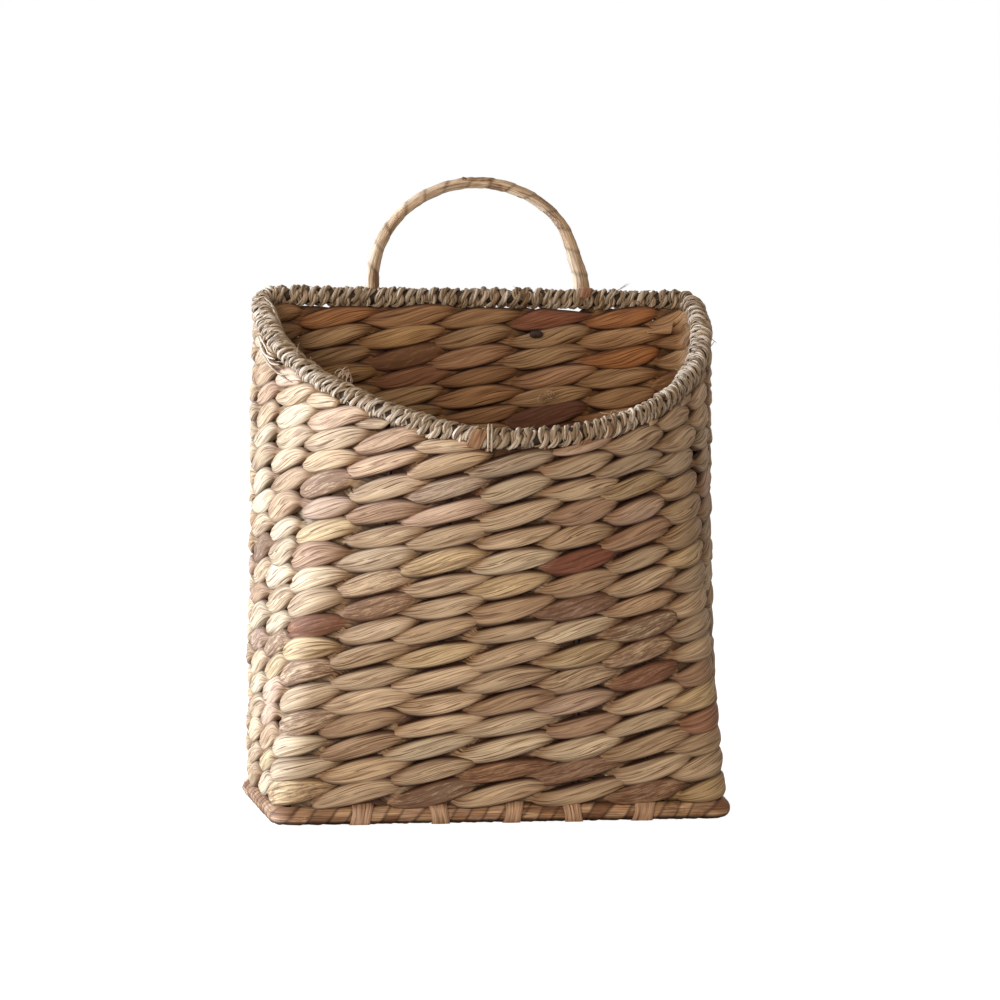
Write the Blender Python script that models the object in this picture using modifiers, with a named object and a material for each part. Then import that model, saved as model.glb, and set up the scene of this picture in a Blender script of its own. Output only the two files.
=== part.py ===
"""Wall basket: two strands twined row by row round wire stakes, under a cord-wound rim with a hanging handle.

Metres, +Z up. The flat back faces +Y, the rounded front faces -Y, and the basket stands on Z = 0.
The wall's middle line runs straight from a rectangular base ring up to a rim shaped like a letter D,
which tilts forward, so the front of the basket is lower than its back.
"""

import math

import bmesh
import bpy
import numpy as np
from mathutils import Matrix, Vector

# Overall form
BASE_FRONT_WIDTH = 0.296
BASE_BACK_WIDTH = 0.319
BASE_DEPTH = 0.1475
BASE_CORNER_RADIUS = 0.014
RIM_WIDTH = 0.2945
RIM_DEPTH = 0.185
RIM_CORNER_RADIUS = 0.012
RIM_BACK_HEIGHT = 0.3365
RIM_DROP = 0.0917
CLEARANCE = 0.0003
OVERRUN = 0.002
WELD_SHARE = 0.1
TUBE_SIDES = 6

# Stakes and strands of the wall
STAKE_DIAMETER = 0.004
STRAND_THICKNESS = 0.0048
STRAND_EDGE = 0.0035
STAKE_HOLE_HALF = 0.0075
STAKE_TOP_ROOM = 0.0012
CORNER_HOLE_ROOM = 0.0006
STRAND_END_HEIGHT = 0.004
END_BEFORE_STAKE = 0.005
END_AFTER_STAKE = 0.0095
FULL_COURSES = 15
BACK_COURSES = 7
FRONT_GAPS = 6
SIDE_GAPS = 3
FRONT_CORNER_ANGLE = math.radians(45)
FRONT_CORNER_SPREAD = math.radians(4)
EDGE_SHARE = 0.3

# Rim rod and the cord wound round it
RIM_ROD_DIAMETER = 0.0032
RIM_CORD_DIAMETER = 0.0054
BACK_TURNS = 10
SIDE_TURNS = 24
TURN_POINTS = 8
GAP_SAMPLES = 4
CORNER_STEPS = 5
FRONT_STEPS = 28

# Base frame, its binding and the ties over it
BASE_ROD_DIAMETER = 0.004
BASE_BINDING_DIAMETER = 0.0128
BINDING_SIDES = 8
STAKE_NOTCH_HALF = 0.0034
STAKE_LEAN_ROOM = 0.0016
TIE_THICKNESS = 0.0009
TIE_WIDTH = 0.013
TIE_LOW_ANGLE = math.radians(-45)
TIE_STEP_ANGLE = math.radians(24)
TIE_FACES = 4

# Woven bottom
CROSS_ROD_DIAMETER = 0.0036
BOTTOM_ROWS = 5
BOTTOM_STRAND_THICKNESS = 0.003

# Handle
HANDLE_HALF_SPAN = 0.0722
HANDLE_RISE = 0.0682
HANDLE_LEG = 0.010
HANDLE_FOOT_DEPTH = 0.005
HANDLE_ROD_DIAMETER = 0.004
HANDLE_WRAP_DIAMETER = 0.0076
HANDLE_STEPS = 16
LASHING_LENGTH = 0.015
LASHING_SIDES = 16

# Sizes that follow from those above
SLOT_HALF = STAKE_DIAMETER / 2 + CLEARANCE
WALL_HALF = SLOT_HALF + STRAND_THICKNESS
BACK_Y = RIM_DEPTH / 2
RIM_SLOPE = RIM_DROP / RIM_DEPTH
HELIX_RADIUS = (RIM_ROD_DIAMETER / 2 + CLEARANCE + RIM_CORD_DIAMETER / 2) / math.cos(math.pi / TURN_POINTS)
RIM_RADIUS = HELIX_RADIUS + RIM_CORD_DIAMETER / 2
BINDING_RADIUS = BASE_BINDING_DIAMETER / 2
TIE_INNER_RADIUS = (BINDING_RADIUS + CLEARANCE) / math.cos(TIE_STEP_ANGLE / 2)
TIE_OUTER_RADIUS = TIE_INNER_RADIUS + TIE_THICKNESS
RING_Z = BINDING_RADIUS * math.cos(math.pi / BINDING_SIDES)
WALL_BOTTOM = RING_Z + BINDING_RADIUS + CLEARANCE
HANDLE_Y = BACK_Y + RIM_ROD_DIAMETER / 2 + CLEARANCE + HANDLE_ROD_DIAMETER / 2


class Station:
    """One upright line of the wall: its point on the base ring, its point on the rim, and its name."""

    def __init__(self, base, rim, kind, side, number=0):
        self.base = Vector(base)
        self.rim = Vector(rim)
        self.kind = kind
        self.side = side
        self.number = number
        self.under = 0.0

    def at(self, height):
        """The point of the line at a height, on the straight run from base ring to rim."""
        share = (height - RING_Z) / (self.rim.z - RING_Z)
        flat = self.base.lerp(self.rim.xy, share)
        return Vector((flat.x, flat.y, height))

    def mirrored(self):
        """The same line on the other side of the basket."""
        base = (-self.base.x, self.base.y)
        rim = (-self.rim.x, self.rim.y, self.rim.z)
        twin = Station(base, rim, self.kind, self.side.replace("right", "left"), self.number)
        if self.side in ("front", "back"):
            twin.number = FRONT_GAPS - self.number
        twin.under = self.under
        return twin

    def towards(self, other, share):
        """A line between this one and another."""
        base = self.base.lerp(other.base, share)
        rim = self.rim.lerp(other.rim, share)
        middle = Station(base, rim, "end", self.side)
        middle.under = self.under + (other.under - self.under) * share
        return middle


def rim_point(x, y):
    """Puts a plan point on the tilted plane of the rim."""
    return Vector((x, y, RIM_BACK_HEIGHT - RIM_SLOPE * (BACK_Y - y)))


def rim_front(angle):
    """A point of the rim's half ellipse: angle 0 is the middle of the front, a right angle its right end."""
    x = RIM_WIDTH / 2 * math.sin(angle)
    y = BACK_Y - RIM_CORNER_RADIUS - (RIM_DEPTH - RIM_CORNER_RADIUS) * math.cos(angle)
    return rim_point(x, y)


def rim_corner(angle):
    """A point of the rim's right back corner: angle 0 is its start at the side, a right angle its end."""
    x = RIM_WIDTH / 2 - RIM_CORNER_RADIUS * (1 - math.cos(angle))
    y = BACK_Y - RIM_CORNER_RADIUS * (1 - math.sin(angle))
    return rim_point(x, y)


def base_corner(corner, before, after):
    """The three points of a rounded base corner, from the side of one neighbour to the side of the other."""
    to_before = (before - corner).normalized() * BASE_CORNER_RADIUS
    to_after = (after - corner).normalized() * BASE_CORNER_RADIUS
    middle = (to_before + to_after) * (1 - math.sin(math.pi / 4))
    return [corner + to_before, corner + middle, corner + to_after]


def right_half():
    """The wall's upright lines from the middle of the front, by the right side, to the middle of the back."""
    front, back = base_corners()
    front_left = Vector((-front.x, front.y))
    back_left = Vector((-back.x, back.y))
    lines = []
    for number in range(FRONT_GAPS // 2, FRONT_GAPS):
        share = number / FRONT_GAPS
        rim = rim_front(FRONT_CORNER_ANGLE * (2 * share - 1))
        lines.append(Station(front_left.lerp(front, share), rim, "stake", "front", number))
    bends = base_corner(front, front_left, back)
    for step, base in enumerate(bends):
        rim = rim_front(FRONT_CORNER_ANGLE + FRONT_CORNER_SPREAD * (step - 1))
        kind = "stake" if step == 1 else "bend"
        lines.append(Station(base, rim, kind, "front_right_corner"))
    for number in range(1, SIDE_GAPS):
        share = number / SIDE_GAPS
        angle = FRONT_CORNER_ANGLE + (math.pi / 2 - FRONT_CORNER_ANGLE) * share
        lines.append(Station(front.lerp(back, share), rim_front(angle), "stake", "right", number))
    for step, base in enumerate(base_corner(back, front, back_left)):
        rim = rim_corner(math.pi / 4 * step)
        kind = "stake" if step == 1 else "bend"
        lines.append(Station(base, rim, kind, "back_right_corner"))
    for number in range(FRONT_GAPS - 1, FRONT_GAPS // 2 - 1, -1):
        share = number / FRONT_GAPS
        base = back_left.lerp(back, share)
        rim = rim_point(RIM_WIDTH * (share - 1 / 2), BACK_Y)
        lines.append(Station(base, rim, "stake", "back", number))
    set_undersides(lines)
    return lines


def set_undersides(lines):
    """Gives each line the height where it meets the rim's underside, from the rim's slope along its length."""
    for index, line in enumerate(lines):
        before = lines[max(index - 1, 0)].rim
        after = lines[min(index + 1, len(lines) - 1)].rim
        if index == 0:
            before = Vector((-after.x, after.y, after.z))
        run = after - before
        stretch = run.length / run.xy.length
        line.under = line.rim.z - RIM_RADIUS * stretch - CLEARANCE


def whole_round():
    """All upright lines, counter-clockwise seen from above, starting at the middle of the front."""
    half = right_half()
    left = [line.mirrored() for line in half[1:-1]]
    return half + left[::-1]


def new_collection(name):
    """A collection of that name in the scene."""
    collection = bpy.data.collections.new(name)
    bpy.context.scene.collection.children.link(collection)
    return collection


def finish_material(name, colour, roughness, metallic=0.0):
    """A Principled material of one colour."""
    material = bpy.data.materials.new(name)
    material.use_nodes = True
    shader = material.node_tree.nodes["Principled BSDF"]
    shader.inputs["Base Color"].default_value = (*colour, 1.0)
    shader.inputs["Roughness"].default_value = roughness
    shader.inputs["Metallic"].default_value = metallic
    material.diffuse_color = (*colour, 1.0)
    return material


def add_mesh(name, mesh, material, collection):
    """An object that shows a mesh."""
    item = bpy.data.objects.new(name, mesh)
    mesh.materials.append(material)
    collection.objects.link(item)
    return item


def tube(name, points, diameter, material, collection, closed=False, caps=True):
    """A round rod along points, as a bevelled curve."""
    curve = bpy.data.curves.new(name, "CURVE")
    curve.dimensions = "3D"
    curve.bevel_depth = diameter / 2
    curve.bevel_resolution = TUBE_SIDES // 2 - 2
    curve.use_fill_caps = caps and not closed
    spline = curve.splines.new("POLY")
    spline.points.add(len(points) - 1)
    for place, point in zip(spline.points, points):
        place.co = (*point, 1.0)
    spline.use_cyclic_u = closed
    curve.materials.append(material)
    item = bpy.data.objects.new(name, curve)
    collection.objects.link(item)
    return item


def curve_mesh(item):
    """The mesh of a curve object with its caps welded on. The curve is removed."""
    bpy.context.view_layer.update()
    evaluated = item.evaluated_get(bpy.context.evaluated_depsgraph_get())
    mesh = bpy.data.meshes.new_from_object(evaluated)
    bpy.data.objects.remove(item)
    work = bmesh.new()
    work.from_mesh(mesh)
    bmesh.ops.remove_doubles(work, verts=work.verts, dist=CLEARANCE * WELD_SHARE)
    work.to_mesh(mesh)
    work.free()
    return mesh


def mesh_from(name, build):
    """A mesh whose faces are made by a function and then turned outwards."""
    work = bmesh.new()
    build(work)
    bmesh.ops.recalc_face_normals(work, faces=work.faces)
    mesh = bpy.data.meshes.new(name)
    work.to_mesh(mesh)
    work.free()
    return mesh


def prism(outline, length, collection):
    """The mesh of a flat outline drawn out along its own Z, half to each side."""
    curve = bpy.data.curves.new("outline", "CURVE")
    curve.dimensions = "2D"
    curve.fill_mode = "BOTH"
    curve.extrude = length / 2
    spline = curve.splines.new("POLY")
    spline.points.add(len(outline) - 1)
    for place, (x, y) in zip(spline.points, outline):
        place.co = (x, y, 0.0, 1.0)
    spline.use_cyclic_u = True
    item = bpy.data.objects.new("outline", curve)
    collection.objects.link(item)
    return curve_mesh(item)


def pushed_out(points, distances, closed):
    """Moves the points of a plan outline outwards, so that its sides beside a point move by the point's distance."""
    count = len(points)
    moved = []
    for index, point in enumerate(points):
        before = points[index - 1] if closed or index else None
        after = points[(index + 1) % count] if closed or index < count - 1 else None
        normals = []
        for start, end in ((before, point), (point, after)):
            if start is not None and end is not None:
                run = (end.xy - start.xy).normalized()
                normals.append(Vector((run.y, -run.x)))
        total = normals[0] + normals[-1]
        shift = total * (distances[index] / (1 + normals[0].dot(normals[-1])))
        moved.append(Vector((point.x + shift.x, point.y + shift.y, point.z)))
    return moved


def course_end(found, there, low):
    """Ends a course before a line where too little height is left, clear of the stakes beside it."""
    smallest = low + STRAND_END_HEIGHT
    here = found[-1]
    distance = (there.at(low) - here.at(low)).length
    share = (here.under - smallest) / (here.under - there.under)
    if here.kind == "stake" and share * distance < END_AFTER_STAKE:
        found.pop()
        before = found[-1]
        gap = (here.at(low) - before.at(low)).length
        found.append(before.towards(here, 1 - END_BEFORE_STAKE / gap))
        return
    if there.kind == "stake":
        share = min(share, 1 - END_BEFORE_STAKE / distance)
    found.append(here.towards(there, share))


def course_lines(low):
    """The lines that a course follows, from its right end round the back to its left end.

    The second value says whether the course closes round the front.
    """
    half = right_half()[::-1]
    found = [half[0]]
    closed = True
    for there in half[1:]:
        if there.under < low + STRAND_END_HEIGHT:
            closed = False
            course_end(found, there, low)
            break
        found.append(there)
    left = [line.mirrored() for line in found[1:]]
    if closed:
        left = left[:-1]
    return found[::-1] + left, closed


class CourseSection:
    """The corners of a course where it passes one line of the wall.

    face holds the low and high corner of the outer face, and inner the corner of the inner ridge.
    Round a stake, outer and inner strand each have their own low and high corner on the stake's side,
    and after and before hold the low and high ends of the hole between them. Elsewhere both strands share them.
    """

    def __init__(self, work, line, corners):
        self.is_stake = line.kind == "stake"
        self.face = [work.verts.new(corners["face"][0]), work.verts.new(corners["face"][1])]
        self.inner = work.verts.new(corners["inner"])
        self.outer_slot = [work.verts.new(point) for point in corners["outer_slot"]]
        self.inner_slot = self.outer_slot
        if self.is_stake:
            self.inner_slot = [work.verts.new(point) for point in corners["inner_slot"]]
            self.before = [work.verts.new(point) for point in corners["before"]]
            self.after = [work.verts.new(point) for point in corners["after"]]


def join_sections(work, here, there):
    """The faces of a course between two sections that follow each other."""
    work.faces.new((here.face[0], here.face[1], there.face[1], there.face[0]))
    for level in (0, 1):
        sides = (
            (here.outer_slot[level], there.outer_slot[level], here.face[level], there.face[level]),
            (here.inner_slot[level], there.inner_slot[level], here.inner, there.inner),
        )
        for near, far, near_edge, far_edge in sides:
            work.faces.new((near_edge, near, far, far_edge))
            hole = []
            if here.is_stake:
                hole.append(here.after[level])
            if there.is_stake:
                hole.append(there.before[level])
            if hole:
                work.faces.new([near] + hole + [far])
    for section, hole in ((here, "after"), (there, "before")):
        if section.is_stake:
            low, high = getattr(section, hole)
            for slot in (section.outer_slot, section.inner_slot):
                work.faces.new((slot[0], slot[1], high, low))


def hole_width(line):
    """Half the width of a course's hole at a line: wider where the wall turns at a corner stake."""
    if line.kind != "stake":
        return 0.0
    return SLOT_HALF + (CORNER_HOLE_ROOM if "corner" in line.side else 0.0)


def course_corners(low, high, lines, closed):
    """For each line that a course passes, the corners of its section."""
    tops = [min(high, line.under) for line in lines]
    edges = [min(STRAND_EDGE, EDGE_SHARE * (top - low)) for top in tops]
    slots = [hole_width(line) for line in lines]
    reach = [WALL_HALF] * len(lines)

    def edge(heights, distances, side):
        points = [line.at(height) for line, height in zip(lines, heights)]
        return pushed_out(points, [distance * side for distance in distances], closed)

    lows = [low] * len(lines)
    face_low = edge([low + size for size in edges], reach, 1)
    face_high = edge([top - size for top, size in zip(tops, edges)], reach, 1)
    inner = edge([(low + top) / 2 for top in tops], reach, -1)
    outer_slot = list(zip(edge(lows, slots, 1), edge(tops, slots, 1)))
    inner_slot = list(zip(edge(lows, slots, -1), edge(tops, slots, -1)))
    middle = [(line.at(low), line.at(top)) for line, top in zip(lines, tops)]
    count = len(lines)

    def hole_end(index, other):
        """The low and high end of a stake's hole on the side of another line."""
        pairs = zip(middle[index], middle[other % count])
        return [start + (end - start).normalized() * STAKE_HOLE_HALF for start, end in pairs]

    return [
        {
            "face": (face_low[index], face_high[index]),
            "inner": inner[index],
            "outer_slot": outer_slot[index],
            "inner_slot": inner_slot[index],
            "before": hole_end(index, index - 1),
            "after": hole_end(index, index + 1),
        }
        for index in range(count)
    ]


def add_course(name, low, high, material, collection):
    """One course of the wall: an outer and an inner strand that part round each stake and meet between them."""
    lines, closed = course_lines(low)
    corners = course_corners(low, high, lines, closed)

    def build(work):
        sections = [CourseSection(work, line, corner) for line, corner in zip(lines, corners)]
        for here, there in zip(sections, sections[1:]):
            join_sections(work, here, there)
        if closed:
            join_sections(work, sections[-1], sections[0])
            return
        for end in (sections[0], sections[-1]):
            work.faces.new((end.outer_slot[0], *end.face, end.outer_slot[1], end.inner))

    return add_mesh(name, mesh_from(name, build), material, collection)


def add_courses(material, collection):
    """The full courses up to the low front of the rim, and above them those that end under its sides."""
    half = right_half()
    front_top = half[0].under
    back_top = half[-1].under
    full_pitch = (front_top - WALL_BOTTOM) / FULL_COURSES
    back_pitch = (back_top - front_top) / BACK_COURSES
    bottoms = [WALL_BOTTOM + full_pitch * row for row in range(FULL_COURSES)]
    bottoms += [front_top + back_pitch * row for row in range(BACK_COURSES)]
    bottoms.append(back_top)
    for row, (low, high) in enumerate(zip(bottoms, bottoms[1:])):
        add_course(f"course_{row + 1:02d}", low, high - CLEARANCE, material, collection)


def add_stakes(material, collection):
    """The upright wires, from the base rod to the underside of the rim."""
    foot = RING_Z + BASE_ROD_DIAMETER / 2 + CLEARANCE
    for line in whole_round():
        if line.kind == "bend":
            continue
        name = f"{line.side}_stake_{line.number}" if line.number else f"{line.side}_stake"
        ends = [line.at(foot), line.at(line.under - STAKE_TOP_ROOM)]
        tube(name, ends, STAKE_DIAMETER, material, collection)


def rim_path():
    """The rim's middle line from the middle of the back, by the right side, round to the start again."""
    corner = [rim_corner(math.pi / 2 * (1 - step / CORNER_STEPS)) for step in range(CORNER_STEPS)]
    front = [rim_front(math.pi * (1 / 2 - step / FRONT_STEPS)) for step in range(FRONT_STEPS + 1)]
    far_corner = [Vector((-point.x, point.y, point.z)) for point in corner[::-1]]
    return [rim_point(0.0, BACK_Y)] + corner + front + far_corner


class RimLine:
    """The rim's middle line measured along its length."""

    def __init__(self):
        points = rim_path()
        self.points = np.array([tuple(point) for point in points + points[:1]])
        steps = np.linalg.norm(np.diff(self.points, axis=0), axis=1)
        self.along = np.concatenate(([0.0], np.cumsum(steps)))
        self.length = float(self.along[-1])

    def point(self, distance):
        """The point that far along the line from the middle of the back."""
        distance = distance % self.length
        return Vector([float(np.interp(distance, self.along, self.points[:, axis])) for axis in range(3)])

    def around(self, distance, angle):
        """A point on the helix radius round the line: angle 0 is outwards, a right angle upwards."""
        reach = RIM_CORD_DIAMETER
        tangent = (self.point(distance - reach) - self.point(distance + reach)).normalized()
        outwards = Vector((tangent.y, -tangent.x, 0.0)).normalized()
        upwards = outwards.cross(tangent)
        side = outwards * math.cos(angle) + upwards * math.sin(angle)
        return self.point(distance) + side * HELIX_RADIUS


def add_winding(name, line, start, end, turns, material, collection):
    """A cord wound round the rim rod, its two ends laid straight along the rod against the lashings."""
    lead = RIM_CORD_DIAMETER
    count = turns * TURN_POINTS
    first_angle = -math.pi / 2
    points = [line.around(start, first_angle)]
    for index in range(count + 1):
        share = index / count
        distance = start + lead + (end - start - 2 * lead) * share
        points.append(line.around(distance, first_angle + 2 * math.pi * turns * share))
    points.append(line.around(end, first_angle))
    print(f"{name}: {turns} turns, least gap to itself {self_gap(points):.5f} m")
    return tube(name, points, RIM_CORD_DIAMETER, material, collection)


def self_gap(points):
    """The least gap between turns of a wound cord, measured between points along its middle line."""
    corners = np.array([tuple(point) for point in points])
    shares = np.arange(GAP_SAMPLES) / GAP_SAMPLES
    steps = (corners[1:] - corners[:-1])[:, None] * shares[None, :, None]
    fine = (corners[:-1, None] + steps).reshape(-1, 3)
    apart = TURN_POINTS * GAP_SAMPLES // 2
    gaps = np.linalg.norm(fine[:, None] - fine[None], axis=2)
    order = np.arange(len(fine))
    gaps[np.abs(order[:, None] - order[None]) < apart] = np.inf
    return float(gaps.min()) - RIM_CORD_DIAMETER


def add_rim(rod_material, cord_material, collection):
    """The rim rod, and the cord round it in three lengths that end at the lashings and the front's middle."""
    points = rim_path()
    tube("rim_rod", points, RIM_ROD_DIAMETER, rod_material, collection, closed=True)
    line = RimLine()
    inside = HANDLE_HALF_SPAN - LASHING_LENGTH / 2 - CLEARANCE
    outside = HANDLE_HALF_SPAN + LASHING_LENGTH / 2 + CLEARANCE
    add_winding("rim_winding_back", line, -inside, inside, BACK_TURNS, cord_material, collection)
    middle = line.length / 2
    right_end = middle - CLEARANCE
    left_start = middle + CLEARANCE
    left_end = line.length - outside
    add_winding("rim_winding_right", line, outside, right_end, SIDE_TURNS, cord_material, collection)
    add_winding("rim_winding_left", line, left_start, left_end, SIDE_TURNS, cord_material, collection)


def base_route():
    """The base ring's lines with their points at ring height."""
    return [(line, Vector((line.base.x, line.base.y, RING_Z))) for line in whole_round()]


def ring_corners():
    """The points where the base ring bends: its sides are straight between them."""
    return [point for line, point in base_route() if line.kind == "bend" or "corner" in line.side]


def binding_mesh(name, diameter, collection):
    """A tube round the base ring whose sides lie flat on the ground and upright."""
    points = ring_corners()
    item = tube(name, points, diameter, bpy.data.materials["wire"], collection, closed=True)
    item.data.bevel_resolution = BINDING_SIDES // 2 - 2
    for point in item.data.splines[0].points:
        point.tilt = math.pi / BINDING_SIDES
    return curve_mesh(item)


def square_frames(route):
    """For each line of the base ring, a place with X outwards, Y upwards and Z along the ring."""
    frames = {}
    for index, (line, point) in enumerate(route):
        before = route[index - 1][1]
        after = route[(index + 1) % len(route)][1]
        run = ((point - before).normalized() + (after - point).normalized()).normalized()
        outwards = Vector((run.y, -run.x, 0.0))
        upwards = Vector((0.0, 0.0, 1.0))
        turned = Matrix((outwards, upwards, outwards.cross(upwards))).transposed()
        frames[line] = Matrix.Translation(point) @ turned.to_4x4()
    return frames


def notch_mesh(places):
    """Boxes that open the binding's top and inner side at each stake."""
    outside = SLOT_HALF + STAKE_LEAN_ROOM
    inside = BINDING_RADIUS + OVERRUN
    top = BINDING_RADIUS + OVERRUN
    bottom = CROSS_ROD_DIAMETER / 2 + CLEARANCE
    middle = Vector(((outside - inside) / 2, (top - bottom) / 2, 0.0))
    size = Vector((outside + inside, top + bottom, 2 * STAKE_NOTCH_HALF))

    def build(work):
        for place in places:
            matrix = place @ Matrix.Translation(middle) @ Matrix.Diagonal((*size, 1.0))
            bmesh.ops.create_cube(work, size=1.0, matrix=matrix)

    return mesh_from("notches", build)


def tie_outline():
    """Section of a tie, seen along the ring: X outwards and Y upwards from the rod."""
    angles = [TIE_LOW_ANGLE + TIE_STEP_ANGLE * step for step in range(TIE_FACES + 1)]
    inner = [(TIE_INNER_RADIUS * math.cos(a), TIE_INNER_RADIUS * math.sin(a)) for a in angles]
    outer = [(TIE_OUTER_RADIUS * math.cos(a), TIE_OUTER_RADIUS * math.sin(a)) for a in angles]
    return inner + outer[::-1]


def cut_with(item, label, mesh, cutters, operation="DIFFERENCE"):
    """A Boolean on an object with a mesh that is kept as a wire guide."""
    guide = bpy.data.objects.new(f"{item.name}_{label}_cutter", mesh)
    guide.hide_render = True
    guide.display_type = "WIRE"
    cutters.objects.link(guide)
    step = item.modifiers.new(label, "BOOLEAN")
    step.operation = operation
    step.object = guide


def cross_rods_mesh(front, back, collection):
    """The base frame's rods from front to back, which run into the ring."""
    meshes = []
    for number in range(1, FRONT_GAPS):
        side = 2 * number / FRONT_GAPS - 1
        ends = [Vector((front.x * side, front.y, RING_Z)), Vector((back.x * side, back.y, RING_Z))]
        rod = tube("rod", ends, CROSS_ROD_DIAMETER, bpy.data.materials["wire"], collection)
        meshes.append(curve_mesh(rod))

    def build(work):
        for mesh in meshes:
            work.from_mesh(mesh)

    return mesh_from("cross_rods", build)


def base_corners():
    """The front right and back right corners of the wall's middle line on the base, before rounding."""
    front = Vector((BASE_FRONT_WIDTH / 2 - WALL_HALF, BACK_Y + WALL_HALF * 2 - BASE_DEPTH))
    back = Vector((BASE_BACK_WIDTH / 2 - WALL_HALF, BACK_Y))
    return front, back


def add_base(rod_material, binding_material, collection, cutters):
    """The base frame of a ring with welded cross rods, the binding wrapped round the ring, and the front ties."""
    front, back = base_corners()
    route = base_route()
    frames = square_frames(route)
    ring = tube("ring", ring_corners(), BASE_ROD_DIAMETER, rod_material, collection, closed=True)
    frame = add_mesh("base_frame", curve_mesh(ring), rod_material, collection)
    cut_with(frame, "rods", cross_rods_mesh(front, back, collection), cutters, "UNION")
    outside = binding_mesh("binding", BASE_BINDING_DIAMETER, collection)
    binding = add_mesh("base_binding", outside, binding_material, collection)
    bore = binding_mesh("bore", BASE_ROD_DIAMETER + 2 * CLEARANCE / math.cos(math.pi / BINDING_SIDES), collection)
    cut_with(binding, "bore", bore, cutters)
    stakes = [line for line, point in route if line.kind == "stake"]
    cut_with(binding, "notches", notch_mesh([frames[line] for line in stakes]), cutters)
    tie = prism(tie_outline(), TIE_WIDTH, collection)
    for line in stakes:
        if line.side == "front":
            item = add_mesh(f"front_tie_{line.number}", tie, binding_material, collection)
            item.matrix_world = frames[line]


def strand_mesh(name, centres, low_y, high_y):
    """A flat strand through the centres, which hold X and the rise over the rods' level."""
    half = BOTTOM_STRAND_THICKNESS / 2
    section = [(low_y, -half), (high_y, -half), (high_y, half), (low_y, half)]

    def build(work):
        rings = [[work.verts.new((x, y, RING_Z + rise + z)) for y, z in section] for x, rise in centres]
        for ring, following in zip(rings, rings[1:]):
            for side in range(len(ring)):
                work.faces.new((ring[side - 1], ring[side], following[side], following[side - 1]))
        work.faces.new(rings[0])
        work.faces.new(rings[-1])

    return mesh_from(name, build)


def add_bottom(material, collection):
    """The bottom's strands, each woven over one cross rod and under the next, from one side to the other."""
    front, back = base_corners()
    margin = BINDING_RADIUS + CLEARANCE
    pitch = (back.y - front.y - 2 * margin) / BOTTOM_ROWS
    lift = CROSS_ROD_DIAMETER / 2 + CLEARANCE + BOTTOM_STRAND_THICKNESS / 2
    for row in range(BOTTOM_ROWS):
        low_y = front.y + margin + pitch * row
        width = front.lerp(back, (low_y - front.y) / (back.y - front.y)).x
        beside_corner = row in (0, BOTTOM_ROWS - 1)
        reach = width - (BASE_CORNER_RADIUS + CLEARANCE if beside_corner else margin)
        centres = [(-reach, 0.0)]
        for number in range(1, FRONT_GAPS):
            over = 1 if (row + number) % 2 else -1
            centres.append((width * (2 * number / FRONT_GAPS - 1), lift * over))
        centres.append((reach, 0.0))
        name = f"bottom_strand_{row + 1}"
        mesh = strand_mesh(name, centres, low_y, low_y + pitch - CLEARANCE)
        add_mesh(name, mesh, material, collection)


def handle_route(foot_height):
    """The handle's middle line: two short legs and a half ellipse between them."""
    shoulder = RIM_BACK_HEIGHT + HANDLE_LEG
    points = [Vector((-HANDLE_HALF_SPAN, HANDLE_Y, foot_height))]
    for step in range(HANDLE_STEPS + 1):
        angle = math.pi * step / HANDLE_STEPS
        x = -HANDLE_HALF_SPAN * math.cos(angle)
        points.append(Vector((x, HANDLE_Y, shoulder + HANDLE_RISE * math.sin(angle))))
    points.append(Vector((HANDLE_HALF_SPAN, HANDLE_Y, foot_height)))
    return points


def add_lashing(name, side, material, collection, cutters):
    """A lashing that binds one foot of the handle to the rim rod: a short drum with a bore for each of them."""
    x = side * HANDLE_HALF_SPAN
    place = Matrix.Translation((x, BACK_Y, RIM_BACK_HEIGHT)) @ Matrix.Rotation(math.pi / 2, 4, "Y")

    def build(work):
        bmesh.ops.create_cone(
            work,
            cap_ends=True,
            segments=LASHING_SIDES,
            radius1=RIM_RADIUS,
            radius2=RIM_RADIUS,
            depth=LASHING_LENGTH,
            matrix=place,
        )

    item = add_mesh(name, mesh_from(name, build), material, collection)
    reach = LASHING_LENGTH / 2 + OVERRUN
    rod_ends = [Vector((x - reach, BACK_Y, RIM_BACK_HEIGHT)), Vector((x + reach, BACK_Y, RIM_BACK_HEIGHT))]
    leg_low = RIM_BACK_HEIGHT - HANDLE_FOOT_DEPTH - CLEARANCE
    leg_ends = [Vector((x, HANDLE_Y, leg_low)), Vector((x, HANDLE_Y, RIM_BACK_HEIGHT + RIM_RADIUS + OVERRUN))]
    for label, ends, diameter in (("rod", rod_ends, RIM_ROD_DIAMETER), ("leg", leg_ends, HANDLE_ROD_DIAMETER)):
        bore = tube(label, ends, diameter + 2 * CLEARANCE, bpy.data.materials["wire"], cutters)
        cut_with(item, label, curve_mesh(bore), cutters)


def add_handle(rod_material, wrap_material, collection, cutters):
    """The hanging handle: a bent rod, the strip wrapped round it, and a lashing at each foot."""
    rod = handle_route(RIM_BACK_HEIGHT - HANDLE_FOOT_DEPTH)
    tube("handle_rod", rod, HANDLE_ROD_DIAMETER, rod_material, collection)
    wrap = handle_route(RIM_BACK_HEIGHT + RIM_RADIUS + CLEARANCE)
    item = tube("handle_wrap", wrap, HANDLE_WRAP_DIAMETER, wrap_material, collection, caps=False)
    sleeve = item.modifiers.new("wall", "SOLIDIFY")
    flat_radius = HANDLE_WRAP_DIAMETER / 2 * math.cos(math.pi / TUBE_SIDES)
    sleeve.thickness = flat_radius - HANDLE_ROD_DIAMETER / 2 - CLEARANCE
    sleeve.offset = -1.0
    sleeve.use_even_offset = True
    add_lashing("handle_lashing_left", -1, wrap_material, collection, cutters)
    add_lashing("handle_lashing_right", 1, wrap_material, collection, cutters)


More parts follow.
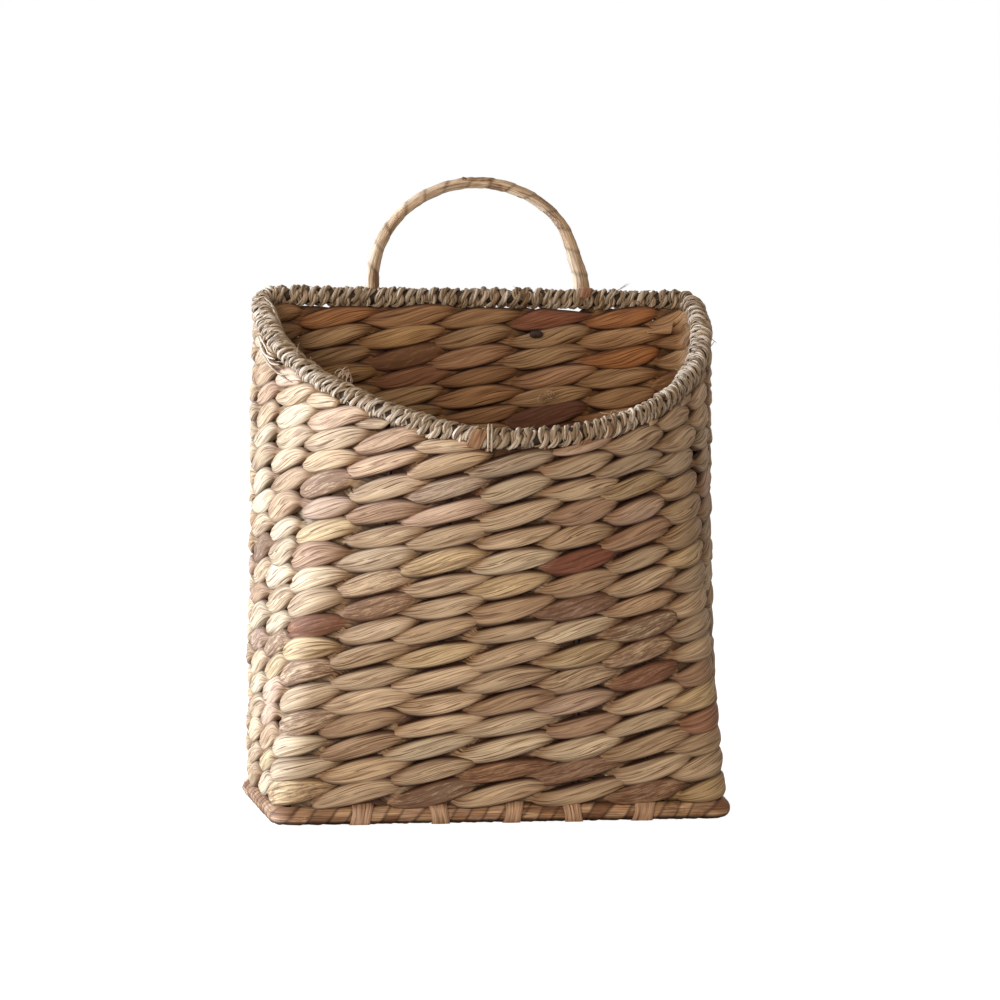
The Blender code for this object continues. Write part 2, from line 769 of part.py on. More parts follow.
def main():
    for item in list(bpy.data.objects):
        bpy.data.objects.remove(item)
    basket = new_collection("wall_basket")
    cutters = new_collection("cutters")
    wire = finish_material("wire", (0.20, 0.19, 0.18), 0.45, 0.9)
    strand = finish_material("hyacinth_strand", (0.56, 0.38, 0.22), 0.75)
    cord = finish_material("seagrass_cord", (0.44, 0.38, 0.27), 0.8)
    strip = finish_material("hyacinth_strip", (0.60, 0.42, 0.24), 0.7)
    add_courses(strand, basket)
    add_stakes(wire, basket)
    add_rim(wire, cord, basket)
    add_base(wire, strip, basket, cutters)
    add_bottom(strand, basket)
    add_handle(wire, strip, basket, cutters)


main()
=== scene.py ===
# %% [markdown]
# # A wall basket twined from dried plant stalks
# The basket is made from four materials: flattened water hyacinth stalks, twisted in pairs round wire
# stakes; a grass cord wound round the rim; flat strips of the same stalks wrapped round the base ring and
# the handle; and the wires inside. The measured frame comes first, and every piece is fitted to it.

import bpy
import numpy as np
from mathutils import Matrix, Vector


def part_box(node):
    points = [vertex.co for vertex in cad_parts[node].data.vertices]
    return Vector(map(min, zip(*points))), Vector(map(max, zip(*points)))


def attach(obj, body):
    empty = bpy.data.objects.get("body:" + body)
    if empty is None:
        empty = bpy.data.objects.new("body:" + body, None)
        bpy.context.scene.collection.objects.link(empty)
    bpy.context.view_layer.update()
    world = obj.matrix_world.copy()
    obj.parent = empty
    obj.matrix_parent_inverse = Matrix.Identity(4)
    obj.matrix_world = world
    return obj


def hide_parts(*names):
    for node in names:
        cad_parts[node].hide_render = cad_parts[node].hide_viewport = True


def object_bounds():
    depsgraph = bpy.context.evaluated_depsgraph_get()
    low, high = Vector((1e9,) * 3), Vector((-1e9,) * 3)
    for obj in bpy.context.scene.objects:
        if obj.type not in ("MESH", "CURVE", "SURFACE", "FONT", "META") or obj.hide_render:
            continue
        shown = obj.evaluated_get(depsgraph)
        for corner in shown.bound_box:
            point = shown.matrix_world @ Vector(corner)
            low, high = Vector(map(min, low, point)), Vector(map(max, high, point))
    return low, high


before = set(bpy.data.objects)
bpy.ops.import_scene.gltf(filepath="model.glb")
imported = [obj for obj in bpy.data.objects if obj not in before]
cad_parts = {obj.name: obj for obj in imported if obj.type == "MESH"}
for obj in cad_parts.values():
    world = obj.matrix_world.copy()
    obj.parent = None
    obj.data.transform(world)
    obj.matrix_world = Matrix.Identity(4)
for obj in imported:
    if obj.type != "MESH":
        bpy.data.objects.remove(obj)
cad_low, cad_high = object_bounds()
corners = [[round(v, 4) for v in corner] for corner in (cad_low, cad_high)]
print("frame:", len(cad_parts), "nodes, from", corners[0], "to", corners[1])

# %% [markdown]
# ## Sizes
# The wall runs from a rectangular base ring up to a rim shaped like a letter D that tilts forward.
# A few sizes fix all of it, in metres. They are the ones that the solid model was made from, apart from the
# rim's lift: the real rim is not quite even, and left of the middle it runs up to 3 mm higher than its
# mirror image. Stakes are numbered round the basket, from 3 in the middle of the front to 12 in the middle
# of the back and on.

# %% Sizes of the real basket
MM = 0.001
BASE_FRONT_X = 0.1409
BASE_BACK_X = 0.1524
BASE_FRONT_Y = -0.0408
BACK_Y = 0.0925
BASE_CORNER = 0.014
RING_Z = 0.00591
RIM_WIDTH = 0.2945
RIM_DEPTH = 0.185
RIM_CORNER = 0.012
RIM_BACK_Z = 0.3365
RIM_SLOPE = 0.0917 / RIM_DEPTH
RIM_RADIUS = 0.00768
RIM_LIFT = 0.003
LIFT_X = -0.092
LIFT_WIDTH = 0.04
WALL_BOTTOM = 0.01261
STAKES = 18
FRONT = 3
BACK = 12
FULL_COURSES = 15
BACK_COURSES = 7
print("rim:", RIM_WIDTH, "x", RIM_DEPTH, "m;", FULL_COURSES + BACK_COURSES, "rows;", STAKES, "stakes")

# %% [markdown]
# ## Helpers for shapes
# Every plant piece is a closed skin carried along a path: rows of points, one ring per step. One function
# turns such a grid into a mesh, with the real length along the piece and the real width round it as its
# UV map in metres, so that fibres follow the strand wherever it turns. Natural irregularity comes from one
# kind of smooth random curve, drawn from a seed of its own each time, so nothing depends on the order.

# %% Skins and smooth random curves
FREE_VALUES = 2048


def wander(place, spacing, seed, round_trip=None):
    """Smooth random numbers from -1 to 1: random values one spacing apart, joined by 3t^2 - 2t^3.

    With a round trip, the values repeat after that length, so a closed strand has no seam.
    """
    count = max(2, round(round_trip / spacing)) if round_trip else FREE_VALUES
    step = round_trip / count if round_trip else spacing
    values = np.random.default_rng(seed).uniform(-1, 1, count)
    along = np.asarray(place, float) / step
    low = np.floor(along).astype(int)
    share = along - low
    share = share * share * (3 - 2 * share)
    return values[low % count] * (1 - share) + values[(low + 1) % count] * share


def unit(vectors):
    """Vectors divided by their lengths."""
    return vectors / np.linalg.norm(vectors, axis=-1, keepdims=True)


def circle(count):
    """Evenly spaced angles of one full turn."""
    return np.linspace(0, 2 * np.pi, count, endpoint=False)


def pressed(wave, power):
    """A sine or cosine with flatter ends, as across a pressed stalk: sign x size to a power under 1."""
    return np.sign(wave) * np.abs(wave) ** power


def travelled(points):
    """The distance along a chain of points, at each of them."""
    return np.append(0.0, np.cumsum(np.linalg.norm(np.diff(points, axis=0), axis=1)))


def skin(name, rings, along, width, material, closed=False, tint=None, drift=None):
    """A mesh over rings of points (steps x points x 3), with quads between neighbours.

    Open skins get a flat cap at each end. UV is (distance along, share of the way round x width + drift),
    in metres. The faces are turned outwards when the volume, the sum of corner products over 6, is negative.
    """
    steps, round_, _ = rings.shape
    last = steps if closed else steps - 1
    i, j = np.meshgrid(np.arange(last), np.arange(round_), indexing="ij")
    k, l = (i + 1) % steps, (j + 1) % round_
    corners = [i * round_ + j, i * round_ + l, k * round_ + l, k * round_ + j]
    quads = np.stack(corners, -1).reshape(-1, 4)
    flat = rings.reshape(-1, 3)
    a, b, c, d = (flat[quads[:, n]] for n in range(4))
    volume = (np.cross(b - a, c - a) * a).sum() + (np.cross(c - a, d - a) * a).sum()
    spacing = along[-1] - along[-2]
    u = np.append(along, along[-1] + spacing)
    share = np.stack([j, j + 1, j + 1, j], -1).reshape(-1, 4) / round_
    reach = np.stack([u[i], u[i], u[i + 1], u[i + 1]], -1).reshape(-1, 4)
    uv = np.stack([reach, (share - 0.5) * width], -1)
    if drift is not None:
        uv[..., 1] += drift.reshape(-1)[quads]
    if volume < 0:
        quads, uv = quads[:, ::-1], uv[:, ::-1]
    loops = [quads.reshape(-1)]
    sizes = [np.full(len(quads), 4)]
    uvs = [uv.reshape(-1, 2)]
    if not closed:
        ends = [np.arange(round_)[::-1], (steps - 1) * round_ + np.arange(round_)]
        for end, place in zip(ends, (u[0], u[-2])):
            loops.append(end[::-1] if volume < 0 else end)
            sizes.append([round_])
            uvs.append(np.tile((place, 0.0), (round_, 1)))
    loops, sizes, uvs = np.concatenate(loops), np.concatenate(sizes), np.concatenate(uvs)
    mesh = bpy.data.meshes.new(name)
    mesh.vertices.add(len(flat))
    mesh.vertices.foreach_set("co", flat.astype(np.float32).ravel())
    mesh.loops.add(len(loops))
    mesh.loops.foreach_set("vertex_index", loops.astype(np.int32))
    mesh.polygons.add(len(sizes))
    mesh.polygons.foreach_set("loop_start", np.concatenate([[0], np.cumsum(sizes)[:-1]]).astype(np.int32))
    mesh.polygons.foreach_set("use_smooth", np.ones(len(sizes), bool))
    mesh.uv_layers.new(name="along").data.foreach_set("uv", uvs.astype(np.float32).ravel())
    if tint is not None:
        layer = mesh.color_attributes.new("tint", "FLOAT_COLOR", "POINT")
        layer.data.foreach_set("color", tint.reshape(-1, 4).astype(np.float32).ravel())
    mesh.update()
    mesh.validate()
    mesh.materials.append(material)
    return mesh


def show(name, meshes, replaced):
    """One object from one or more skins, at the origin, which stands in for nodes of the measured frame."""
    items = []
    for mesh in meshes:
        item = bpy.data.objects.new(name, mesh)
        bpy.context.scene.collection.objects.link(item)
        items.append(item)
    if len(items) > 1:
        with bpy.context.temp_override(active_object=items[0], selected_editable_objects=items):
            bpy.ops.object.join()
    piece = items[0]
    piece.name = name
    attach(piece, "root")
    if replaced:
        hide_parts(*replaced)
    return piece


print("a smooth random curve:", wander([0, 1, 2, 3], 2.0, 1).round(2))

# %% [markdown]
# ## The lines of the wall
# The base ring and the rim are two plan outlines. Both are drawn as dense chains of points, and each stake
# is a place on both chains. A point of the wall at a height lies on the straight run between the two, just
# as a real stake does. A stake number may be a fraction: 4.5 is half-way between two stakes.

# %% Base ring, rim and stakes
CHAIN_STEP = 0.4 * MM
CORNER_STAKE_STEP = 7


def corner_curve(before, corner, after, cut, count=12):
    """A rounded corner, cut back by a length each way: the curve (1-t)^2 a + 2t(1-t) b + t^2 c."""
    start = corner + (before - corner) / np.linalg.norm(before - corner) * cut
    end = corner + (after - corner) / np.linalg.norm(after - corner) * cut
    t = np.linspace(0, 1, count)[:, None]
    return (1 - t) ** 2 * start + 2 * t * (1 - t) * corner + t**2 * end


def mirrored(right):
    """The right half of an outline, from the front's middle to the back's, and its mirror image."""
    left = right[-2:0:-1] * np.array([-1.0] + [1.0] * (right.shape[1] - 1))
    return np.concatenate([right, left])


def dense(points, step):
    """A closed chain of points refilled so that no gap is over a step."""
    after = np.roll(points, -1, axis=0)
    count = np.maximum(1, np.ceil(np.linalg.norm(after - points, axis=1) / step)).astype(int)
    runs = [p + (q - p) * np.arange(n)[:, None] / n for p, q, n in zip(points, after, count)]
    return np.concatenate(runs)


class Outline:
    """A closed chain of points, measured along its length."""

    def __init__(self, points):
        self.points = np.concatenate([points, points[:1]])
        self.along = travelled(self.points)
        self.length = self.along[-1]

    def at(self, distance):
        """Points at distances along the chain, by straight steps between its points."""
        distance = np.asarray(distance) % self.length
        return np.stack([np.interp(distance, self.along, axis) for axis in self.points.T], -1)

    def nearest(self, point):
        """The distance along the chain of the point closest to a given one."""
        return self.along[np.argmin(np.linalg.norm(self.points[:-1, :2] - point, axis=1))]


def base_outline(grow, cut):
    """The base's four-cornered outline, grown outwards by a length, its corners cut back and rounded."""
    front = np.array([BASE_FRONT_X + grow, BASE_FRONT_Y - grow])
    back = np.array([BASE_BACK_X + grow, BACK_Y])
    flip = np.array([-1.0, 1.0])
    turns = [corner_curve(front * flip, front, back, cut), corner_curve(front, back, back * flip, cut)]
    right = np.concatenate([[[0.0, front[1]]], *turns, [[0.0, BACK_Y]]])
    return Outline(dense(mirrored(right), CHAIN_STEP))


front_corner = np.array([BASE_FRONT_X, BASE_FRONT_Y])
back_corner = np.array([BASE_BACK_X, BACK_Y])
base = base_outline(0.0, BASE_CORNER)


def on_rim(x, y):
    """Plan points lifted to the rim's tilted plane: height = back height - slope x distance from the back."""
    return np.stack([x, y, RIM_BACK_Z - RIM_SLOPE * (BACK_Y - y)], -1)


arc = np.radians(np.arange(0, 90.1, 1.0))
bend = np.radians(np.arange(0, 90.1, 6.0))
half = RIM_WIDTH / 2
arc_x = half * np.sin(arc)
arc_y = BACK_Y - RIM_CORNER - (RIM_DEPTH - RIM_CORNER) * np.cos(arc)
bend_x = half - RIM_CORNER * (1 - np.cos(bend))
bend_y = BACK_Y - RIM_CORNER * (1 - np.sin(bend))
right_rim = on_rim(np.concatenate([arc_x, bend_x[1:], [0.0]]), np.concatenate([arc_y, bend_y[1:], [BACK_Y]]))
rim_points = mirrored(right_rim)
from_lift = (rim_points[:, 0] - LIFT_X) / LIFT_WIDTH
rim_points[:, 2] += RIM_LIFT * np.exp(-(from_lift**2)) * (rim_points[:, 1] < BACK_Y - 2 * RIM_CORNER)
rim = Outline(dense(rim_points, CHAIN_STEP))

# Ten stakes of the right half: four on the front with its corner, three on the side, three on the back.
stake_base = [front_corner * (0, 1), front_corner * (1 / 3, 1), front_corner * (2 / 3, 1), front_corner]
stake_base += [front_corner + (back_corner - front_corner) * share for share in (1 / 3, 2 / 3, 1)]
stake_base += [back_corner * (share, 1) for share in (2 / 3, 1 / 3, 0)]
# On the rim six of them stand every 15 degrees of the arc, which has a point at every degree.
stake_rim = [right_rim[degree, :2] for degree in (0, 15, 30, 45, 60, 75)]
stake_rim += [np.array([bend_x[CORNER_STAKE_STEP], bend_y[CORNER_STAKE_STEP]])]
stake_rim += [np.array([half * share, BACK_Y]) for share in (2 / 3, 1 / 3, 0)]
base_marks = np.array([base.nearest(point) for point in stake_base])
rim_marks = np.array([rim.nearest(point) for point in stake_rim])
stations = np.arange(FRONT, BACK + 1)
stations = np.concatenate([stations, 2 * BACK - stations[-2:0:-1], [FRONT + STAKES]])
base_marks = np.concatenate([base_marks, base.length - base_marks[-2:0:-1], [base.length]])
rim_marks = np.concatenate([rim_marks, rim.length - rim_marks[-2:0:-1], [rim.length]])
print("base ring", round(base.length, 4), "m round, rim", round(rim.length, 4), "m round,", STAKES, "stakes")

# %% [markdown]
# ## Points of the wall
# Everything on the wall is placed by two numbers: how far round the basket, in stakes, and how high. One
# function gives the point, and another adds the directions outwards and up the stake there.

# %% Wall by stake number and height
def past_front(stake):
    """How many stakes a place lies past the middle of the front, from 0 to 18 on every trip round."""
    return (stake - FRONT) % STAKES


def rim_at(stake):
    """Rim points at stake numbers."""
    return rim.at(np.interp(past_front(stake) + FRONT, stations, rim_marks))


def wall(stake, height):
    """Points of the wall's middle line: base + (rim - base) x (height - ring) / (rim height - ring)."""
    low = base.at(np.interp(past_front(stake) + FRONT, stations, base_marks))
    high = rim_at(stake)
    share = (height - RING_Z) / (high[..., 2] - RING_Z)
    flat = low + (high[..., :2] - low) * share[..., None]
    return np.concatenate([flat, height[..., None]], -1)


def wall_frame(stake, height, reach=0.12):
    """At each wall point: the point, the direction outwards and the direction up the stake.

    Along the wall the direction is taken over a reach each way, which rounds it at the corners.
    """
    point = wall(stake, height)
    run = unit(wall(stake + reach, height) - wall(stake - reach, height))
    up = unit(wall(stake, height + MM) - point)
    out = unit(np.cross(run, up))
    return point, out, up


print("wall at the front's middle, 0.1 m up:", wall(np.array([3.0]), np.array([0.1]))[0].round(4))

# %% [markdown]
# ## Colours
# Dried hyacinth is never one colour: most stalks are straw or tan, some are grey or pinkish, a few are
# deep red-brown where the outer skin stayed on. Each lens-shaped bulge takes its own mix, as the stalks in
# the real basket do. Most colours are picked by chance in the shares in which they are seen; the bulges that
# stand out are named one by one. Colours are written as sRGB hex values and turned to linear light once.

# %% Palette
def linear(code):
    """A colour code to linear light: ((c + 0.055) / 1.055)^2.4 above 0.04045, and c / 12.92 below."""
    value = np.array([int(code[n : n + 2], 16) for n in (1, 3, 5)]) / 255
    return np.where(value > 0.04045, ((value + 0.055) / 1.055) ** 2.4, value / 12.92)


STALKS = {
    "#D7BF9C": 0.28,
    "#E0CEAC": 0.20,
    "#D0B691": 0.18,
    "#CFBB9B": 0.12,
    "#D2B69B": 0.07,
    "#D6BF94": 0.06,
    "#C6A986": 0.08,
    "#BB9C7E": 0.03,
    "#A2765C": 0.012,
}
stalk_colours = np.array([linear(code) for code in STALKS])
stalk_shares = np.array(list(STALKS.values())) / sum(STALKS.values())


# Bulges of the real basket that stand out: row and stake, colour, and how stained.
MARKED = {
    (2, 3): ("#C09A76", 0.85),
    (4, 6): ("#B58A6E", 0.4),
    (6, 5): ("#AE8468", 0.85),
    (8, 0): ("#AC7C60", 0.9),
    (9, 4): ("#AC9078", 0.85),
    (11, 4): ("#945E48", 0.75),
    (12, 5): ("#C4A282", 0.65),
    (14, 2): ("#C8B49A", 0.7),
    (15, 1): ("#D6B998", 0.62),
    (16, 1): ("#D2B494", 0.7),
    (17, 0): ("#D8BC9C", 0.6),
    (15, 3): ("#C0AE92", 0.2),
}
# The same for bulges seen on the inner face.
MARKED_INSIDE = {
    (22, 10): ("#CC9C70", 0.3),
    (22, 11): ("#B0806A", 0.5),
    (22, 14): ("#D2A87C", 0.2),
    (20, 10): ("#D0A070", 0.2),
    (19, 13): ("#B08C72", 0.5),
    (17, 11): ("#8A665A", 0.8),
    (16, 10): ("#CC986A", 0.3),
    (16, 11): ("#80584C", 0.9),
}


LENS_PICKS = 64
COLOUR_CHANGE = 0.16


def lens_tints(stake, seed, row=0, lead=0):
    """For each step of a strand, its colour and, as alpha, how stained it is.

    Every bulge over a stake picks a stalk colour by chance, unless it is one of the marked ones; the colour
    changes half-way between stakes, over a small share of their spacing, where the strand dives inwards.
    """
    draw = np.random.default_rng(seed)
    picks = draw.choice(len(stalk_colours), LENS_PICKS, p=stalk_shares)
    shade = draw.uniform(0.86, 1.12, LENS_PICKS)
    stain = draw.uniform(0, 1, LENS_PICKS) ** 2.5
    table = np.concatenate([stalk_colours[picks] * shade[:, None], stain[:, None]], 1)
    for side, marks in enumerate((MARKED, MARKED_INSIDE)):
        for (marked_row, marked_stake), (code, stained) in marks.items():
            if marked_row == row and (marked_stake + lead) % 2 == side:
                table[(marked_stake + lead) % STAKES] = [*linear(code), stained]
    low = np.floor(stake).astype(int)
    share = np.clip((stake - low - 0.5) / COLOUR_CHANGE + 0.5, 0, 1)[:, None]
    return table[low % STAKES] * (1 - share) + table[(low + 1) % STAKES] * share


def plain_tint(code, stained, steps, count):
    """One colour, and how stained it is, for a whole grid of points."""
    return np.tile([*linear(code), stained], (steps, count, 1))


print("stalk colours:", len(STALKS), "and", len(MARKED) + len(MARKED_INSIDE), "bulges that stand out")

# %% [markdown]
# ## Materials
# All three plant materials are matt and fibrous. The colour comes from the piece's own tint, and fibres,
# splits and stains are noise stretched along the strand on its UV map, at their real widths: on a stalk the
# fibres are about half a millimetre wide and the splits two to three centimetres long. Noise is chosen
# rather than drawn lines, because no two fibres are alike. The wires are blackened iron.

# %% Fibre material
def add_node(tree, kind, inputs=None, **settings):
    """Adds a shader node, sets its values, and links an input where its value is another node's output."""
    item = tree.nodes.new(kind)
    for key, value in settings.items():
        setattr(item, key, value)
    for key, value in (inputs or {}).items():
        if isinstance(value, bpy.types.NodeSocket):
            tree.links.new(value, item.inputs[key])
        else:
            item.inputs[key].default_value = value
    return item


def stretched_noise(tree, uv, long, across, detail=3.0, rough=0.6):
    """Noise on the UV map whose spots are long and across metres in size."""
    scale = (1 / long, 1 / across, 1.0)
    spot = add_node(tree, "ShaderNodeMapping", {"Vector": uv, "Scale": scale}, vector_type="POINT")
    inputs = {"Vector": spot.outputs["Vector"], "Scale": 1.0, "Detail": detail, "Roughness": rough}
    return add_node(tree, "ShaderNodeTexNoise", inputs).outputs["Fac"]


def ramp(tree, value, *stops):
    """A value turned into colours by stops of (place, level), a level being a grey or a colour."""
    item = add_node(tree, "ShaderNodeValToRGB", {"Fac": value})
    item.color_ramp.elements[0].position = stops[0][0]
    item.color_ramp.elements[-1].position = stops[-1][0]
    for place, level in stops[1:-1]:
        item.color_ramp.elements.new(place)
    for element, (place, level) in zip(item.color_ramp.elements, stops):
        element.color = (*(np.ones(3) * level), 1.0)
    return item.outputs["Color"]


def mix(tree, kind, factor, first, second):
    """Mixes two colours by a blend kind and a factor."""
    inputs = {"Factor": factor, "A": first, "B": second}
    item = add_node(tree, "ShaderNodeMix", data_type="RGBA", blend_type=kind)
    for socket in item.inputs:
        if socket.enabled and socket.name in inputs:
            value = inputs[socket.name]
            if isinstance(value, bpy.types.NodeSocket):
                tree.links.new(value, socket)
            else:
                socket.default_value = value
    return next(socket for socket in item.outputs if socket.enabled)


def plant_material(name, fibre, stain_colour, relief, roughness):
    """A dried stalk or grass: tint x fibres x splits, with stains, and fibres and splits as relief.

    The lengths and widths of the four noises are multiples of one fibre's width.
    """
    material = bpy.data.materials.new(name)
    material.use_nodes = True
    tree = material.node_tree
    shader = tree.nodes["Principled BSDF"]
    uv = add_node(tree, "ShaderNodeUVMap", uv_map="along").outputs["UV"]
    tint = add_node(tree, "ShaderNodeAttribute", attribute_name="tint")
    fine = stretched_noise(tree, uv, 50 * fibre, fibre)
    broad = stretched_noise(tree, uv, 60 * fibre, 4 * fibre, 2.0)
    splits = stretched_noise(tree, uv, 40 * fibre, 1.4 * fibre, 1.0, 0.4)
    spots = stretched_noise(tree, uv, 12 * fibre, 2.5 * fibre, 5.0, 0.75)
    fine_grey = ramp(tree, fine, (0.35, (0.52, 0.42, 0.34)), (0.48, 1.0), (0.66, 1.36))
    split_grey = ramp(tree, splits, (0.59, 1.0), (0.69, (0.38, 0.29, 0.22)))
    browned = ramp(tree, broad, (0.45, 0.0), (0.75, 0.7))
    colour = mix(tree, "MIX", browned, tint.outputs["Color"], (*linear(stain_colour), 1.0))
    colour = mix(tree, "MULTIPLY", 1.0, colour, fine_grey)
    colour = mix(tree, "MULTIPLY", 1.0, colour, split_grey)
    reach = add_node(tree, "ShaderNodeMath", {0: spots, 1: tint.outputs["Alpha"]}, operation="MULTIPLY")
    stained = ramp(tree, reach.outputs[0], (0.35, 0.0), (0.47, 0.75))
    colour = mix(tree, "MIX", stained, colour, (*linear(stain_colour), 1.0))
    tree.links.new(colour, shader.inputs["Base Color"])
    shader.inputs["Roughness"].default_value = roughness
    shader.inputs["Specular IOR Level"].default_value = 0.35
    height = add_node(tree, "ShaderNodeMath", {0: splits, 1: -0.6, 2: fine}, operation="MULTIPLY_ADD")
    inputs = {"Strength": 0.8, "Distance": relief, "Height": height.outputs[0]}
    bump = add_node(tree, "ShaderNodeBump", inputs)
    tree.links.new(bump.outputs["Normal"], shader.inputs["Normal"])
    return material


# Flattened hyacinth stalk: the eye reads long fibres about half a millimetre wide, splits and brown stains.
stalk = plant_material("dried_hyacinth_stalk", 0.6 * MM, "#6E4A33", 0.5 * MM, 0.68)
# Twisted seagrass: thin smooth blades, read by their finer fibres, greyer stains and slight gloss.
grass = plant_material("dried_seagrass_blade", 0.3 * MM, "#5A4830", 0.2 * MM, 0.6)
# Wrapped strip: the same stalk pressed flat, read by its lower relief and by the dark edges of its turns.
strip = plant_material("pressed_hyacinth_strip", 0.5 * MM, "#6B4630", 0.35 * MM, 0.66)


def wire_material():
    """Blackened iron wire, as garden and basket wire is sold: dark, dull metal, rubbed unevenly."""
    material = bpy.data.materials.new("blackened_iron_wire")
    material.use_nodes = True
    tree = material.node_tree
    shader = tree.nodes["Principled BSDF"]
    place = add_node(tree, "ShaderNodeTexCoord").outputs["Object"]
    patches = add_node(tree, "ShaderNodeTexNoise", {"Vector": place, "Scale": 1 / (4 * MM)}).outputs["Fac"]
    dull = ramp(tree, patches, (0.3, 0.35), (0.7, 0.6))
    shader.inputs["Base Color"].default_value = (*linear("#332D27"), 1.0)
    shader.inputs["Metallic"].default_value = 0.5
    tree.links.new(dull, shader.inputs["Roughness"])
    return material


wire = wire_material()
for name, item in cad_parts.items():
    if any(word in name for word in ("stake", "rod", "base_frame")):
        item.data.materials.clear()
        item.data.materials.append(wire)
print("materials:", [item.name for item in (stalk, grass, strip, wire)])

# %% [markdown]
# ## The twined rows
# Each row is two flattened strands twisted round each other like a rope, with a stake caught in every half
# turn. So one strand is outside at a stake and inside at the next, and from any side the bulges lean the
# same way. The strand's centre circles the wall's middle line, and its flat side turns with it. It lingers
# flat over the stake and turns over quickly between stakes, where it is also squeezed narrower.
# Real stalks shrink unevenly as they dry, so each strand also has lengthwise ridges and folds.

# %% Wrinkles of a dried stalk
ROUND = 26
# Ridges as (how many round the strand, height as a share of its size), and the widths of folds in radians.
RIDGES = ((3, 0.030), (5, 0.034), (7, 0.034), (9, 0.030))
FOLDS = 4
FOLD_WIDTH = 0.17
CREASE_WIDTH = 0.2
theta = circle(ROUND)


def half_turn(angle):
    """Angles brought into the range from minus to plus half a turn."""
    return (angle + np.pi) % (2 * np.pi) - np.pi


def wrinkles(along, seed, round_trip, depth):
    """Lengthwise ridges and folds as a share of the strand's size, for each step and angle.

    Ridges are cosines of 3, 5, 7 and 9 times the angle with wandering phases. A fold is a narrow dip,
    the bell curve exp(-(angle from the fold / width)^2), whose place wanders along the strand. A crease is
    a deeper fold on each flat face, which opens only here and there.
    """
    ridge = np.zeros((len(along), ROUND))
    for number, (waves, size) in enumerate(RIDGES):
        phase = 2.4 * wander(along, 0.03, seed + number, round_trip)
        ridge += size * np.cos(waves * theta + phase[:, None] + number)
    for number in range(FOLDS):
        place = 1.57 * number + 1.4 * wander(along, 0.045, seed + 11 + number, round_trip)
        strength = np.clip(wander(along, 0.03, seed + 21 + number, round_trip) + 0.2, 0, 1)
        gap = half_turn(theta - place[:, None])
        ridge -= depth * strength[:, None] * np.exp(-((gap / FOLD_WIDTH) ** 2))
    for face in (0, np.pi):
        place = face + 0.7 * wander(along, 0.04, seed + 31, round_trip)
        strength = np.clip(2.4 * wander(along, 0.05, seed + 33 + int(face), round_trip) - 1.2, 0, 1)
        gap = half_turn(theta - place[:, None])
        ridge -= 2 * depth * strength[:, None] * np.exp(-((gap / CREASE_WIDTH) ** 2))
    return ridge


print("strand section:", ROUND, "points round")

# %% [markdown]
# ## One strand of a pair
# The strand is a grid of steps along the row by points round it. Each step has a place on the wall's middle
# line, a depth through the wall and a climb up it; the section there is a flat oval. Dark grooves between
# neighbouring bulges and where one strand lies against the other, darker ends where the strand dives inwards,
# and a darker, browner inner face are painted shade in its tint, because there the real basket is in deep
# shade.

# %% Twisted strand
STEPS = 28
HALF_WIDTH = 9.7 * MM
HALF_THICKNESS = 3.3 * MM
CROSSING_HALF_THICKNESS = 4.3 * MM
REACH = 3.4 * MM
CLIMB = 3.3 * MM
SLANT = 1.15
STAKE_SPACING = 47 * MM
QUICKNESS = 4.0
TAPER_SHARE = 0.63
SIDE_TAPER_SHARE = 0.58
TAPER_POWER = 2.2
SIDE_MIDDLES = (4.5, 13.5)
SIDE_RUN = 2.4
# How much each measure wanders from bulge to bulge: the stake's place in stakes, the others as shares.
STAKE_SWAY = 0.13
WIDTH_SWAY = 0.11
THICKNESS_SWAY = 0.2
DEPTH_SWAY = 0.18
CLIMB_SWAY = 0.35
SLANT_SWAY = 0.3
SIDE_SLANT_LOSS = 0.5
SWAP_MIX = (0.6, 0.4)
WRINKLE_DEPTH = 0.24
# Powers under 1 that flatten the section across its width and through its thickness.
ACROSS_POWER = 0.8
THROUGH_POWER = 0.72
FACING = 2.5
FIBRE_CLIMB = 3.0 * MM
# A groove starts at this part of the half width and deepens over the next. Groove and dive shades are painted
# shade: what red, green and blue lose there. The inside shade is painted shade too: what they keep on the
# inner face, where the real basket is dim.
GROOVE_START = 0.68
GROOVE_RUN = 0.22
GROOVE_POWER = 1.5
GROOVE_SHADE = np.array((0.93, 0.97, 0.985))
SIDE_GROOVE_LOSS = 0.4
DIVE_SHADE = np.array((0.46, 0.55, 0.62))
INSIDE_SHADE = np.array((0.82, 0.69, 0.58))


def side_share(stake):
    """1 on the basket's two sides and 0 on its front and back, by the distance from a side's middle."""
    from_side = np.minimum(*(np.abs(past_front(stake) - middle) for middle in SIDE_MIDDLES))
    return np.clip(SIDE_RUN - from_side, 0, 1)


